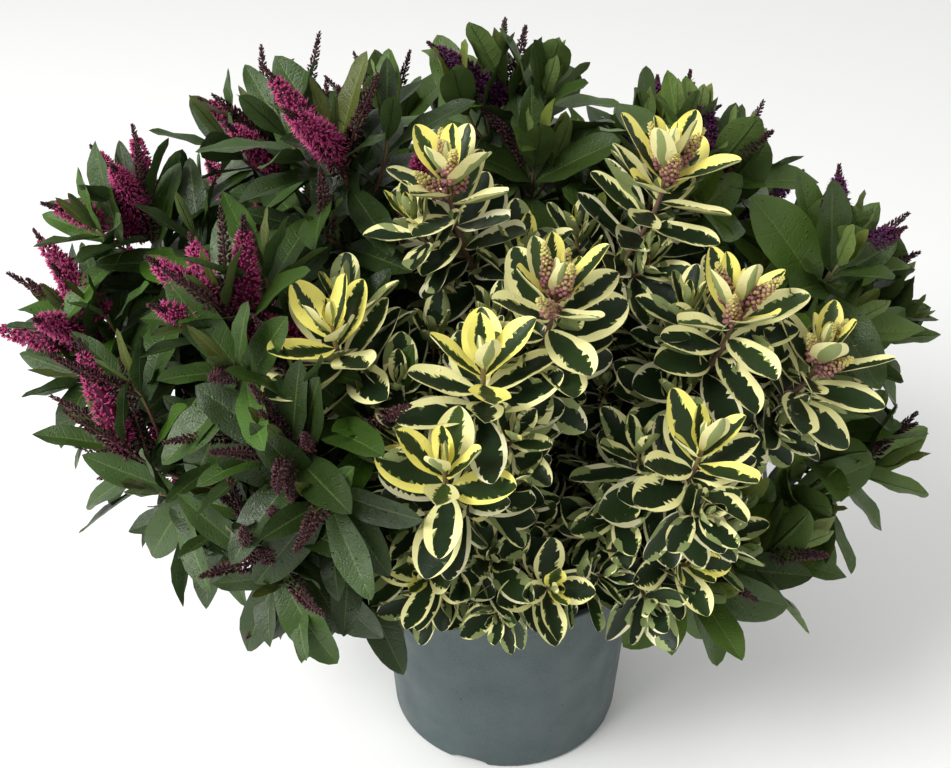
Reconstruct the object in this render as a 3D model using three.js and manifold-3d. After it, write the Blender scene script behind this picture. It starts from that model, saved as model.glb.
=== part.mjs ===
// A hebe shrub in a grey nursery pot, in millimetres, +Z up, with the origin in the middle of the
// pot's underside and -Y its front. One root ball carries three forms of hebe, each on its own
// stem: a narrow-leaved one with magenta flowers on the left, a broad-leaved one with purple
// flowers on the right and at the back, and a variegated one with cream-edged leaves in front.
//
// Each stem carries boughs, each bough forks into two masses of foliage, and each mass is one
// solid: a leading shoot and side shoots with crossed pairs of leaves and with flower spikes.
import * as THREE from "three";
import { mergeVertices } from "three/addons/utils/BufferGeometryUtils.js";
import Module from "manifold-3d";

const wasm = await Module();
wasm.setup();

const GAP = 0.3; // left between neighbouring pieces
const CUTTER_GAP = 0.39; // round a faceted stem, so that the least gap to it is that much
const ROOT_OFFSET = 0.45; // of a leaf's foot from the middle of its twig, so that pairs don't meet inside
const ROOT_VOLUME = 2.5; // the most that a leaf's root shares with its twig, in cubic millimetres
const LEAST_EDGE = 0.004; // between any two corners of a mass, so that none run together
const SEED = 7; // every chance value is worked out from it
const SHOOT_KEYS = 64; // whole numbers kept for the shoots of one mass
const SIDE_KEY = 40; // the first key of a mass's side shoots, and of a shoot's spikes
const SPIKE_KEY = 90;
const LOWEST_PAIR = 0.04; // share of a shoot's length under which no pair sits
// Where along its length a blade and a side shoot are tested for room.
const BLADE_SHARES = [0.08, 0.25, 0.45, 0.65, 0.85, 1];
const SHOOT_SHARES = [0.3, 0.6, 0.8, 1];

const POT = {
  height: 145,
  footRadius: 82.5,
  topRadius: 92, // of the wall just under the rim
  rimRadius: 95,
  rimHeight: 9,
  rimEdge: 1.1, // bevel of the rim
  wall: 2.2,
  floor: 8, // thickness of the base
  edge: 2, // bevel where the wall meets the underside
  sides: 30,
};
const NOTCH = { count: 4, first: -109, width: 28, depth: 8, height: 6 }; // drain notches in the foot
const SOIL = { level: 128, dip: 5, flatRadius: 74 }; // potting soil, lower along the wall

const STEM = {
  standRadius: 29, // of the ring that the three stems stand on
  rise: 82,
  lean: 10, // of the top over the foot, towards the pot's axis
  footRadius: 8,
  flareRadius: 12.5, // of the root flare, where it meets the soil
  flareShare: 0.18, // of the stem's length that the flare takes
  tipRadius: 6,
  sides: 8,
  steps: 6,
};
const BOUGH = {
  startRadius: 5,
  endRadius: 3.6,
  lowest: 0.34, // share of the stem's length where the lowest bough starts
  highest: 0.96,
  sag: 0.28, // share of its rise that a bough has made halfway out
  sides: 4,
  steps: 3,
};
// A leader is the leading shoot of a mass: it first goes onward from its bough for a share of its reach.
const LEADER = { startRadius: 2.7, endRadius: 1.7, onward: 0.3, sides: 3, steps: 3 };
const SIDE = {
  startRadius: 1.3,
  endRadius: 1.1,
  first: 0.25, // share of the leader's length where its side shoots start
  last: 0.85,
  spiral: 137.5, // degrees round the leader from one side shoot to the next
  uplift: 0.55, // how far the outer half of a side shoot turns away from the crown's heart
  lengths: [1, 0.85, 0.7, 0.55], // tried in turn
  vigour: 0.86, // of its leaves, against the leader's
  splayChance: 8, // degrees either way
  sizeChance: 0.15,
  fewest: 4, // leaves that a side shoot is worth growing for
  sides: 3,
  steps: 1,
};

const CROWN = {
  heart: new THREE.Vector3(0, 0, 170), // the boughs spread from about here
  middle: new THREE.Vector3(-15, -5, 262), // of the egg-shaped outline that leaves stay in
  halfWidth: 306,
  halfDepth: 270,
  rise: 264, // of the outline above its middle
  drop: 172, // and below it
  lowestLeaf: 104,
  forkShare: 0.42, // how far out from the heart a bough forks
  siteShare: 0.74, // how far out lies the point that a mass's space is drawn round
  limbClearance: 1.2, // between a leaf and another piece's wood
};

// How leaves and spikes vary, and how one that finds no room is tried again: leaning towards its
// shoot by a share, and at a share of its size.
const GROWTH = {
  youngest: 0.7, // size of the top pair, against a full-grown one
  perPair: 0.12,
  sizeChance: 0.12,
  tiltChance: 9, // degrees either way
  drooping: 4, // the pair from which leaves droop in full
  widest: 0.5, // share of a leaf's length
  bow: 0.05,
};
const SPIKE = { turn: 0.25, sizeChance: 0.18, tiltChance: 12, turnChance: 0.2, widest: 0.36 };
const TRIES = [
  [0, 1],
  [0.25, 1],
  [0, 0.85],
  [0.4, 0.85],
  [0.1, 0.7],
  [0.5, 0.7],
];

// The three forms. Lengths are a full-grown leaf's and a spike's. The tilt of a leaf from its
// shoot grows from the bud down, and pairs of leaves are counted from the bud.
const FORMS = {
  narrow: {
    azimuth: 172,
    leaf: { length: 84, width: 34, keel: 2.4 },
    shoot: { count: 6, length: 56, splay: 56 },
    pairs: { leader: [1, 2, 3, 5, 8], side: [1, 2, 4], spacing: 9, tilt: 38, tiltStep: 10, droop: 0.34 },
    spikes: { leader: 2, side: 1, length: 60, radius: 8, tilt: 34 },
  },
  broad: {
    azimuth: 40,
    leaf: { length: 80, width: 43, keel: 2.6 },
    shoot: { count: 6, length: 54, splay: 56 },
    pairs: { leader: [1, 2, 3, 5, 8], side: [1, 2, 4], spacing: 9, tilt: 38, tiltStep: 10, droop: 0.26 },
    spikes: { leader: 1, side: 1, length: 56, radius: 8.5, tilt: 38 },
  },
  variegated: {
    azimuth: -78,
    leaf: { length: 66, width: 40, keel: 2.4 },
    shoot: { count: 6, length: 46, splay: 56 },
    pairs: { leader: [1, 2, 3, 5, 8], side: [1, 2, 4], spacing: 7, tilt: 40, tiltStep: 10, droop: 0.22 },
    spikes: { leader: 1, side: 0, length: 36, radius: 5.5, tilt: 26 },
  },
};

// The boughs of each form from its lowest to its highest, and the tips of the two leading shoots
// that each one forks into: [azimuth in degrees, reach from the pot's axis, height].
const BOUGHS = {
  narrow: {
    skirt: { front: [-136, 168, 216], side: [-170, 224, 244] },
    back_left: { low: [134, 222, 254], outer: [144, 240, 336] },
    low_left: { low: [-128, 236, 282], outer: [-151, 256, 314] },
    front_left: { lower: [-123, 218, 350], upper: [-140, 202, 404] },
    left: { outer: [-171, 264, 340], inner: [-178, 228, 402] },
    top: { outer: [166, 156, 432], inner: [-152, 112, 464] },
  },
  broad: {
    low_right: { front: [-41, 168, 212], side: [-12, 214, 258] },
    back: { low: [80, 210, 258], outer: [90, 222, 344] },
    back_right: { low: [32, 216, 256], outer: [42, 232, 332] },
    right: { outer: [0, 234, 336], inner: [-14, 194, 392] },
    upper_back: { left: [118, 186, 388], right: [52, 172, 386] },
    top: { right: [-4, 122, 434], middle: [96, 44, 466] },
  },
  variegated: {
    skirt: { left: [-107, 176, 252], middle: [-83, 174, 246] },
    low_right: { low: [-58, 188, 252], upper: [-62, 202, 348] },
    front: { lower: [-101, 200, 348], upper: [-96, 176, 396] },
    right: { outer: [-35, 204, 368], inner: [-48, 172, 406] },
    upper: { left: [-122, 180, 404], middle: [-83, 150, 424] },
    top: { left: [-112, 98, 462], right: [-42, 110, 462] },
  },
};

const MATERIALS = {
  pot: new THREE.MeshStandardMaterial({ color: 0x63767a, roughness: 0.62 }),
  soil: new THREE.MeshStandardMaterial({ color: 0x2a2019, roughness: 0.95 }),
  bark: new THREE.MeshStandardMaterial({ color: 0x5a4334, roughness: 0.85 }),
  narrow: new THREE.MeshStandardMaterial({ color: 0x35502e, roughness: 0.45 }),
  broad: new THREE.MeshStandardMaterial({ color: 0x3c5a35, roughness: 0.42 }),
  variegated: new THREE.MeshStandardMaterial({ color: 0xb9bd80, roughness: 0.5 }),
};

const radians = THREE.MathUtils.degToRad;
const mix = THREE.MathUtils.lerp;

// A point at an azimuth, a reach from the pot's axis and a height.
function place([azimuth, reach, height]) {
  return new THREE.Vector3(
    reach * Math.cos(radians(azimuth)),
    reach * Math.sin(radians(azimuth)),
    height,
  );
}

// A number from 0 to 1 that depends only on the seed and on the whole numbers given.
function chance(...keys) {
  let hash = SEED;
  for (const key of keys) {
    hash = Math.imul(hash ^ (key + 0x9e3779b9), 0x85ebca6b);
    hash ^= hash >>> 13;
    hash = Math.imul(hash, 0xc2b2ae35);
    hash ^= hash >>> 16;
  }
  return (hash >>> 0) / 4294967296;
}

// The same, spread evenly from -size to size.
const jitter = (size, ...keys) => size * (2 * chance(...keys) - 1);

// ---- Solids ----

function solidOf(geometry) {
  const bare = geometry.index ? geometry.toNonIndexed() : geometry.clone();
  bare.deleteAttribute("normal");
  bare.deleteAttribute("uv");
  const merged = mergeVertices(bare, 1e-3);
  return new wasm.Manifold(
    new wasm.Mesh({
      numProp: 3,
      vertProperties: merged.attributes.position.array,
      triVerts: new Uint32Array(merged.index.array),
    }),
  );
}

// The largest body of a solid, as a geometry: loose scraps are dropped.
function geometryOf(solid) {
  const [largest] = solid.decompose().sort((a, b) => b.volume() - a.volume());
  const mesh = largest.getMesh();
  return new THREE.BufferGeometry()
    .setAttribute("position", new THREE.BufferAttribute(mesh.vertProperties, 3))
    .setIndex(new THREE.BufferAttribute(mesh.triVerts, 1))
    .toNonIndexed();
}

function fromTriangles(points, triangles) {
  const geometry = new THREE.BufferGeometry().setFromPoints(points);
  geometry.setIndex(triangles.flat());
  return geometry;
}

// A closed tube along a curve with flat ends. radiusAt gives its radius from the start, 0, to 1.
function limbGeometry(curve, radiusAt, sides, steps) {
  const points = [];
  const triangles = [];
  let across = null;
  for (let step = 0; step <= steps; step++) {
    const share = step / steps;
    const centre = curve.getPoint(share);
    const along = curve.getTangent(share);
    across = across ? across.projectOnPlane(along).normalize() : acrossOf(along);
    const other = along.clone().cross(across);
    for (let side = 0; side < sides; side++) {
      const turn = (2 * Math.PI * side) / sides;
      points.push(
        centre
          .clone()
          .addScaledVector(across, radiusAt(share) * Math.cos(turn))
          .addScaledVector(other, radiusAt(share) * Math.sin(turn)),
      );
    }
  }
  for (let step = 0; step < steps; step++)
    for (let side = 0; side < sides; side++) {
      const a = step * sides + side;
      const b = step * sides + ((side + 1) % sides);
      triangles.push([a, b, b + sides], [a, b + sides, a + sides]);
    }
  const end = steps * sides;
  for (let side = 1; side < sides - 1; side++) {
    triangles.push([0, side + 1, side]);
    triangles.push([end, end + side, end + side + 1]);
  }
  return fromTriangles(points, triangles);
}

// A unit vector square to the one given.
function acrossOf(along) {
  const helper = Math.abs(along.z) < 0.9 ? new THREE.Vector3(0, 0, 1) : new THREE.Vector3(1, 0, 0);
  return helper.cross(along).normalize();
}

// A blade runs from a foot over a ring of corners to a tip: a leaf is flat with a keel below, and a
// flower spike is four-sided and as thick as wide.
function bladePoints(blade) {
  const middle = blade.foot.clone().lerp(blade.tip, blade.widest).addScaledVector(blade.face, blade.bow);
  const edge = blade.face.clone().cross(blade.tip.clone().sub(blade.foot)).normalize();
  const half = blade.width / 2;
  const corners = blade.keel
    ? [[edge, half], [edge, -half], [blade.face, -blade.keel]]
    : [[edge, half], [blade.face, half], [edge, -half], [blade.face, -half]];
  const ring = corners.map(([direction, distance]) => middle.clone().addScaledVector(direction, distance));
  return [blade.foot, blade.tip, ...ring];
}

function bladeGeometry(blade) {
  const points = bladePoints(blade);
  const corners = points.length - 2;
  const faces = Array.from({ length: corners }, (_, i) => {
    const corner = 2 + i;
    const next = 2 + ((i + 1) % corners);
    return [
      [0, next, corner],
      [1, corner, next],
    ];
  });
  return fromTriangles(points, faces.flat());
}

// ---- Pot and soil ----

// A round solid from a half outline of [radius, height] points that starts and ends on the axis.
function turned(outline) {
  const geometry = new THREE.LatheGeometry(
    outline.map(([radius, height]) => new THREE.Vector2(radius, height)),
    POT.sides,
  );
  return geometry.rotateX(Math.PI / 2);
}

// The radius of the outside of the pot's wall at a height.
const wallRadius = (height) => mix(POT.footRadius, POT.topRadius, height / POT.height);

function potGeometry() {
  const { height, rimRadius, rimHeight, rimEdge, wall, floor, edge, footRadius } = POT;
  const rimStart = height - rimHeight;
  const outline = [
    [0, 0],
    [footRadius - edge, 0],
    [wallRadius(edge), edge],
    [wallRadius(rimStart), rimStart],
    [rimRadius, rimStart + rimEdge],
    [rimRadius, height - rimEdge],
    [rimRadius - rimEdge, height],
    [wallRadius(height) - wall, height],
    [wallRadius(rimStart) - wall, rimStart],
    [wallRadius(floor) - wall, floor],
    [0, floor],
  ];
  let pot = solidOf(turned(outline));
  for (let i = 0; i < NOTCH.count; i++) {
    const notch = new THREE.BoxGeometry(2 * NOTCH.depth, NOTCH.width, 2 * NOTCH.height);
    notch.translate(footRadius, 0, 0);
    notch.rotateZ(radians(NOTCH.first + (360 * i) / NOTCH.count));
    pot = pot.subtract(solidOf(notch));
  }
  return geometryOf(pot);
}

function soilGeometry() {
  const inside = (height) => wallRadius(height) - POT.wall - GAP;
  const bottom = POT.floor + GAP;
  const edgeLevel = SOIL.level - SOIL.dip;
  return turned([
    [0, bottom],
    [inside(bottom), bottom],
    [inside(edgeLevel), edgeLevel],
    [SOIL.flatRadius, SOIL.level],
    [0, SOIL.level],
  ]);
}

// ---- Stems and boughs ----

function bend(start, control, end) {
  return new THREE.QuadraticBezierCurve3(start, control, end);
}

// The same curve as straight lengths, so that what grows on a faceted limb has its foot inside it.
function inLengths(curve, steps) {
  const path = new THREE.CurvePath();
  for (let step = 0; step < steps; step++)
    path.add(new THREE.LineCurve3(curve.getPoint(step / steps), curve.getPoint((step + 1) / steps)));
  return path;
}

// A limb has its solid, its middle line in straight lengths, and points with a radius along it.
function makeLimb(curve, radiusAt, sides, steps) {
  const path = inLengths(curve, steps);
  const shares = Array.from({ length: 13 }, (_, i) => i / 12);
  return {
    curve,
    path,
    solid: solidOf(limbGeometry(curve, radiusAt, sides, steps)),
    samples: shares.map((share) => ({ point: path.getPoint(share), radius: radiusAt(share) })),
  };
}

function makeStem(form) {
  const outward = place([FORMS[form].azimuth, 1, 0]);
  const foot = outward.clone().multiplyScalar(STEM.standRadius).setZ(SOIL.level + GAP);
  const top = foot.clone().addScaledVector(outward, -STEM.lean).add(new THREE.Vector3(0, 0, STEM.rise));
  const control = foot.clone().setZ(mix(foot.z, top.z, 0.5));
  const radiusAt = (share) =>
    mix(STEM.footRadius, STEM.tipRadius, share) +
    (STEM.flareRadius - STEM.footRadius) * Math.max(0, 1 - share / STEM.flareShare) ** 2;
  const curve = bend(foot, control, top);
  const fatter = (share) => radiusAt(share) + CUTTER_GAP;
  return {
    ...makeLimb(curve, radiusAt, STEM.sides, STEM.steps),
    cutter: solidOf(limbGeometry(curve, fatter, STEM.sides, STEM.steps)),
  };
}

// A bough leaves its stem part of the way up and ends at the fork under its two masses.
function makeBough(stem, share, tips) {
  const start = stem.curve.getPoint(share);
  const middle = tips[0].clone().add(tips[1]).multiplyScalar(0.5);
  const end = CROWN.heart.clone().lerp(middle, CROWN.forkShare);
  const control = start.clone().lerp(end, 0.5);
  control.z = mix(start.z, end.z, BOUGH.sag);
  const radiusAt = (at) => mix(BOUGH.startRadius, BOUGH.endRadius, at);
  const bough = makeLimb(bend(start, control, end), radiusAt, BOUGH.sides, BOUGH.steps);
  bough.solid = bough.solid.subtract(stem.cutter);
  return bough;
}

// The leading shoot of a mass goes on from its bough's tip, beside the other one, and bends to its own.
function makeLeader(bough, tip, otherTip) {
  const onward = bough.curve.getTangent(1);
  const aside = tip.clone().sub(otherTip).projectOnPlane(onward).normalize();
  const start = bough.curve
    .getPoint(1)
    .addScaledVector(onward, GAP)
    .addScaledVector(aside, LEADER.startRadius + GAP);
  const control = start.clone().addScaledVector(onward, LEADER.onward * start.distanceTo(tip));
  const radiusAt = (share) => mix(LEADER.startRadius, LEADER.endRadius, share);
  return makeLimb(bend(start, control, tip), radiusAt, LEADER.sides, LEADER.steps);
}

// ---- Foliage ----

// True where a point lies inside the crown's outline.
function inOutline(point) {
  const from = point.clone().sub(CROWN.middle);
  const height = from.z > 0 ? CROWN.rise : CROWN.drop;
  const share = Math.hypot(from.x / CROWN.halfWidth, from.y / CROWN.halfDepth, from.z / height);
  return share < 1 && point.z > CROWN.lowestLeaf;
}

// True where a point lies in a mass's own space: in the outline, and nearer to the mass's site than
// to any other's.
function inOwnSpace(mass, point) {
  if (!inOutline(point)) return false;
  return masses.every((other) => {
    if (other === mass) return true;
    const apart = other.site.clone().sub(mass.site);
    const halfway = mass.site.clone().lerp(other.site, 0.5);
    return point.clone().sub(halfway).dot(apart) < -GAP * apart.length();
  });
}

// True where no other piece's wood is close to a point.
function clearOfLimbs(mass, point, margin) {
  return limbs.every(
    (limb) =>
      limb === mass.leader ||
      limb.samples.every(({ point: centre, radius }, i) => {
        if (i === 0) return true;
        const line = new THREE.Line3(limb.samples[i - 1].point, centre);
        const nearest = line.closestPointToPoint(point, true, new THREE.Vector3());
        return nearest.distanceTo(point) > radius + margin;
      }),
  );
}

function bladeFits(mass, blade) {
  const corners = bladePoints(blade);
  if (!corners.slice(1).every((corner) => inOwnSpace(mass, corner))) return false;
  return BLADE_SHARES.every((share) => {
    const width = share < blade.widest ? share / blade.widest : (1 - share) / (1 - blade.widest);
    const bow = blade.bow * width;
    const point = blade.foot.clone().lerp(blade.tip, share).addScaledVector(blade.face, bow);
    return clearOfLimbs(mass, point, CROWN.limbClearance + (width * blade.width) / 2);
  });
}

// The bearing of a shoot at one of its pairs of leaves: the shoot's own direction, and a direction
// square to it that turns a quarter from pair to pair.
function bearing(shoot, pair) {
  const share = Math.max(LOWEST_PAIR, 1 - (pair * shoot.form.pairs.spacing) / shoot.length);
  const along = shoot.path.getTangent(share);
  const outward = acrossOf(along).applyAxisAngle(along, shoot.turn + (pair * Math.PI) / 2);
  return { foot: shoot.path.getPoint(share), along, outward };
}

// A leaf of a pair: side is 0 or 1. Leaves grow longer and lean out further down the shoot, and
// the long ones droop.
function leafOn(shoot, pair, side) {
  const { leaf, pairs } = shoot.form;
  const keys = [shoot.key, pair, side];
  const { foot, along, outward } = bearing(shoot, pair);
  const tilt = radians(pairs.tilt + pairs.tiltStep * pair + jitter(GROWTH.tiltChance, ...keys, 1));
  const out = outward.multiplyScalar(side ? -1 : 1);
  const age = Math.min(1, GROWTH.youngest + GROWTH.perPair * pair);
  const size = age * (1 + jitter(GROWTH.sizeChance, ...keys, 2)) * shoot.vigour;
  foot.addScaledVector(out, ROOT_OFFSET);
  const direction = along.clone().multiplyScalar(Math.cos(tilt)).addScaledVector(out, Math.sin(tilt));
  direction.z -= pairs.droop * Math.min(1, pair / GROWTH.drooping) * (1 - Math.abs(direction.z));
  direction.normalize();
  return {
    foot,
    tip: foot.clone().addScaledVector(direction, leaf.length * size),
    face: along.clone().projectOnPlane(direction).normalize(),
    width: leaf.width * size,
    keel: leaf.keel,
    widest: GROWTH.widest,
    bow: GROWTH.bow * leaf.length * size,
  };
}

// A flower spike from the axil of one of the upper pairs of leaves, halfway round to the next pair.
function spikeOn(shoot, index) {
  const { spikes } = shoot.form;
  const keys = [shoot.key, SPIKE_KEY + index];
  const { foot, along, outward } = bearing(shoot, 1 + (index >> 1));
  const tilt = radians(spikes.tilt + jitter(SPIKE.tiltChance, ...keys, 1));
  const turn = Math.PI * (SPIKE.turn + index) + jitter(SPIKE.turnChance, ...keys, 2);
  const out = outward.applyAxisAngle(along, turn);
  const direction = along.clone().multiplyScalar(Math.cos(tilt)).addScaledVector(out, Math.sin(tilt));
  const length = spikes.length * (1 + jitter(SPIKE.sizeChance, ...keys, 3));
  foot.addScaledVector(out, ROOT_OFFSET);
  return {
    foot,
    tip: foot.clone().addScaledVector(direction, length),
    face: acrossOf(direction),
    width: 2 * spikes.radius,
    widest: SPIKE.widest,
    bow: 0,
  };
}

// True where no two corners of a solid lie closer than the least edge.
function cornersApart(solid) {
  const { vertProperties: at } = solid.getMesh();
  for (let i = 0; i < at.length; i += 3)
    for (let j = i + 3; j < at.length; j += 3) {
      const apart = Math.hypot(at[i] - at[j], at[i + 1] - at[j + 1], at[i + 2] - at[j + 2]);
      if (apart < LEAST_EDGE) return false;
    }
  return true;
}

// A solid with a blade fused on, or null where the blade finds no room. One that leaves the mass's
// space, meets wood or crosses what is there already is tried nearer to its shoot and shorter.
function withBlade(mass, shoot, blade, solid) {
  const along = shoot.path.getTangent(1);
  for (const [lean, size] of TRIES) {
    const span = blade.tip.clone().sub(blade.foot);
    const length = span.length();
    const direction = span.divideScalar(length).lerp(along, lean).normalize();
    const tried = {
      ...blade,
      tip: blade.foot.clone().addScaledVector(direction, length * size),
      face: blade.face.clone().projectOnPlane(direction).normalize(),
      width: blade.width * size,
    };
    if (!bladeFits(mass, tried)) continue;
    const added = solidOf(bladeGeometry(tried));
    if (solid.intersect(added).volume() > ROOT_VOLUME) continue;
    const grown = solid.add(added);
    if (cornersApart(grown)) return grown;
  }
  return null;
}

// A side shoot leaves the leader at a share of its length and bends up and out to its tip. It is
// shortened until it lies in the mass's own space, and left out if it then stays too short.
function sideShoot(mass, index) {
  const { form, leader } = mass;
  const { count, length, splay } = form.shoot;
  const keys = [mass.key, SIDE_KEY + index];
  const share = mix(SIDE.first, SIDE.last, (index + 0.5) / count);
  const start = leader.path.getPoint(share);
  const along = leader.path.getTangent(share);
  const turn = radians(SIDE.spiral) * index + 2 * Math.PI * chance(mass.key, 7);
  const outward = acrossOf(along).applyAxisAngle(along, turn);
  const angle = radians(splay + jitter(SIDE.splayChance, ...keys, 1));
  const direction = along.clone().multiplyScalar(Math.cos(angle)).addScaledVector(outward, Math.sin(angle));
  const away = start.clone().sub(CROWN.heart).normalize();
  for (const size of SIDE.lengths) {
    const reach = length * size * (1 + jitter(SIDE.sizeChance, ...keys, 2));
    const control = start.clone().addScaledVector(direction, reach / 2);
    const onward = direction.clone().lerp(away, SIDE.uplift).normalize();
    const tip = control.clone().addScaledVector(onward, reach / 2);
    const path = inLengths(bend(start, control, tip), SIDE.steps);
    const fits = SHOOT_SHARES.every((at) => {
      const point = path.getPoint(at);
      return inOwnSpace(mass, point) && clearOfLimbs(mass, point, CROWN.limbClearance + SIDE.startRadius);
    });
    const key = SHOOT_KEYS * mass.key + 1 + index;
    if (fits) return { path, form, length: reach, key, turn, vigour: SIDE.vigour };
  }
  return null;
}

// The leaves and spikes that a shoot would carry, before they are fitted.
function bladesOf(shoot, pairs, spikes) {
  const leaves = pairs.flatMap((pair) => [leafOn(shoot, pair, 0), leafOn(shoot, pair, 1)]);
  return [...leaves, ...Array.from({ length: spikes }, (_, i) => spikeOn(shoot, i))];
}

// A solid with the blades of a shoot that find room fused on, and how many they are.
function withBlades(mass, shoot, blades, start) {
  let solid = start;
  let count = 0;
  for (const blade of blades) {
    const grown = withBlade(mass, shoot, blade, solid);
    if (grown) {
      solid = grown;
      count++;
    }
  }
  return { solid, count };
}

// A mass: the leader with its leaves and spikes, and each side shoot that has room for its own.
function massGeometry(mass) {
  const { form, leader } = mass;
  const leading = {
    path: leader.path,
    form,
    length: leader.path.getLength(),
    key: SHOOT_KEYS * mass.key,
    turn: 2 * Math.PI * chance(mass.key, 3),
    vigour: 1,
  };
  const leadingBlades = bladesOf(leading, form.pairs.leader, form.spikes.leader);
  let { solid } = withBlades(mass, leading, leadingBlades, leader.solid);
  const twigRadius = (share) => mix(SIDE.startRadius, SIDE.endRadius, share);
  for (let i = 0; i < form.shoot.count; i++) {
    const shoot = sideShoot(mass, i);
    if (!shoot) continue;
    const twig = solid.add(solidOf(limbGeometry(shoot.path, twigRadius, SIDE.sides, SIDE.steps)));
    const blades = bladesOf(shoot, form.pairs.side, i < form.spikes.side ? 1 : 0);
    const grown = withBlades(mass, shoot, blades, twig);
    if (grown.count >= SIDE.fewest) solid = grown.solid;
  }
  return geometryOf(solid);
}

// ---- Assembly ----

const shrub = new THREE.Group();
const limbs = [];
const masses = [];

function addMesh(name, geometry, material) {
  const mesh = new THREE.Mesh(geometry, material);
  mesh.name = name;
  shrub.add(mesh);
}

addMesh("pot", potGeometry(), MATERIALS.pot);
addMesh("potting_soil", soilGeometry(), MATERIALS.soil);

for (const [form, boughs] of Object.entries(BOUGHS)) {
  const stem = makeStem(form);
  limbs.push(stem);
  addMesh(`stem_${form}`, geometryOf(stem.solid), MATERIALS.bark);
  Object.entries(boughs).forEach(([boughName, leaders], rank, all) => {
    const tips = Object.values(leaders).map(place);
    const share = mix(BOUGH.lowest, BOUGH.highest, rank / (all.length - 1));
    const bough = makeBough(stem, share, tips);
    limbs.push(bough);
    addMesh(`bough_${form}_${boughName}`, geometryOf(bough.solid), MATERIALS.bark);
    Object.keys(leaders).forEach((leaderName, i) => {
      const leader = makeLeader(bough, tips[i], tips[1 - i]);
      limbs.push(leader);
      masses.push({
        name: `foliage_${form}_${boughName}_${leaderName}`,
        form: FORMS[form],
        material: MATERIALS[form],
        key: masses.length,
        leader,
        site: CROWN.heart.clone().lerp(tips[i], CROWN.siteShare),
      });
    });
  });
}

for (const mass of masses) addMesh(mass.name, massGeometry(mass), mass.material);

export default shrub;
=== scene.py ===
# The looks of a hebe shrub in a grey nursery pot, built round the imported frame. Lengths are in
# millimetres until a mesh is made, +Z up, with the origin in the middle of the pot's underside and
# -Y its front. Limbs and shoots follow the rule of the part's source, written again here and
# carried on to leaves, buds and flowers of their real size.
import math
from itertools import product

import bpy
import numpy as np
from mathutils import Matrix, Vector, noise


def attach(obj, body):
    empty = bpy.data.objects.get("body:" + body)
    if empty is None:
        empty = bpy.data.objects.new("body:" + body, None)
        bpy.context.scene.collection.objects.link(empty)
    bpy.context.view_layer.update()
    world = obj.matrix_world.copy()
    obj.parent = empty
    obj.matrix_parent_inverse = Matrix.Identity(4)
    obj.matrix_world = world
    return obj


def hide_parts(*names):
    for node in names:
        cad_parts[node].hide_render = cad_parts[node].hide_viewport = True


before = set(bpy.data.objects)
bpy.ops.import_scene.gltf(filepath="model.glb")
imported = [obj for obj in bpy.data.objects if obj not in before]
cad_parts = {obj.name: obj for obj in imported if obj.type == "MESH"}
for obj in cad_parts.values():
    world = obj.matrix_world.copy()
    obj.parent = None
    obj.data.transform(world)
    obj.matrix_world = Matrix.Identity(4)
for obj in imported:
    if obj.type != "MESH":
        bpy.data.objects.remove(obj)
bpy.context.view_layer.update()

MM = 0.001
UP = Vector((0, 0, 1))
SEED = 7  # every chance value of the growth is worked out from it, as in the part's source

# ---- Driving dimensions, the same as in the part's source ----

POT = dict(height=145, foot=82.5, top=92, rim=95, rim_height=9, wall=2.2, floor=8)
NOTCH = dict(count=4, first=-109, width=28, depth=8, height=6)
SOIL_LEVEL, GAP = 128, 0.3
STEM = dict(stand=29, rise=82, lean=10, foot=8, flare=12.5, flare_share=0.18, tip=6)
BOUGH = dict(start=5, end=3.6, lowest=0.34, highest=0.96, sag=0.28)
LEADER = dict(start=2.7, end=1.3, onward=0.3, upward=0.4)
SIDE = dict(start=1.3, end=0.9, spiral=137.5, uplift=0.55, upturn=0.75, lengths=(1, 0.85, 0.7, 0.55))
HEART = Vector((0, 0, 170))  # the boughs spread from about here
OUTLINE = dict(middle=Vector((-15, -5, 262)), half_width=306, half_depth=270, rise=264, drop=172)
LOWEST_LEAF = 104
# Where the crown is less full: a direction from its middle as azimuth and elevation, and a depth.
DENTS = dict(
    front_left_low=(-126, -12, 0.21),
    right=(5, 15, 0.05),
    right_low=(-25, -15, 0.07),
    right_top=(20, 62, 0.09),
    back_top=(85, 70, 0.07),
)
DENT_SPREAD = math.radians(32)
FORK_SHARE = 0.42  # how far out from the heart a bough forks
SHOOT_KEYS, SIDE_KEY, SPIKE_KEY = 64, 40, 90
AZIMUTHS = dict(narrow=172, broad=40, variegated=-78)

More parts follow.
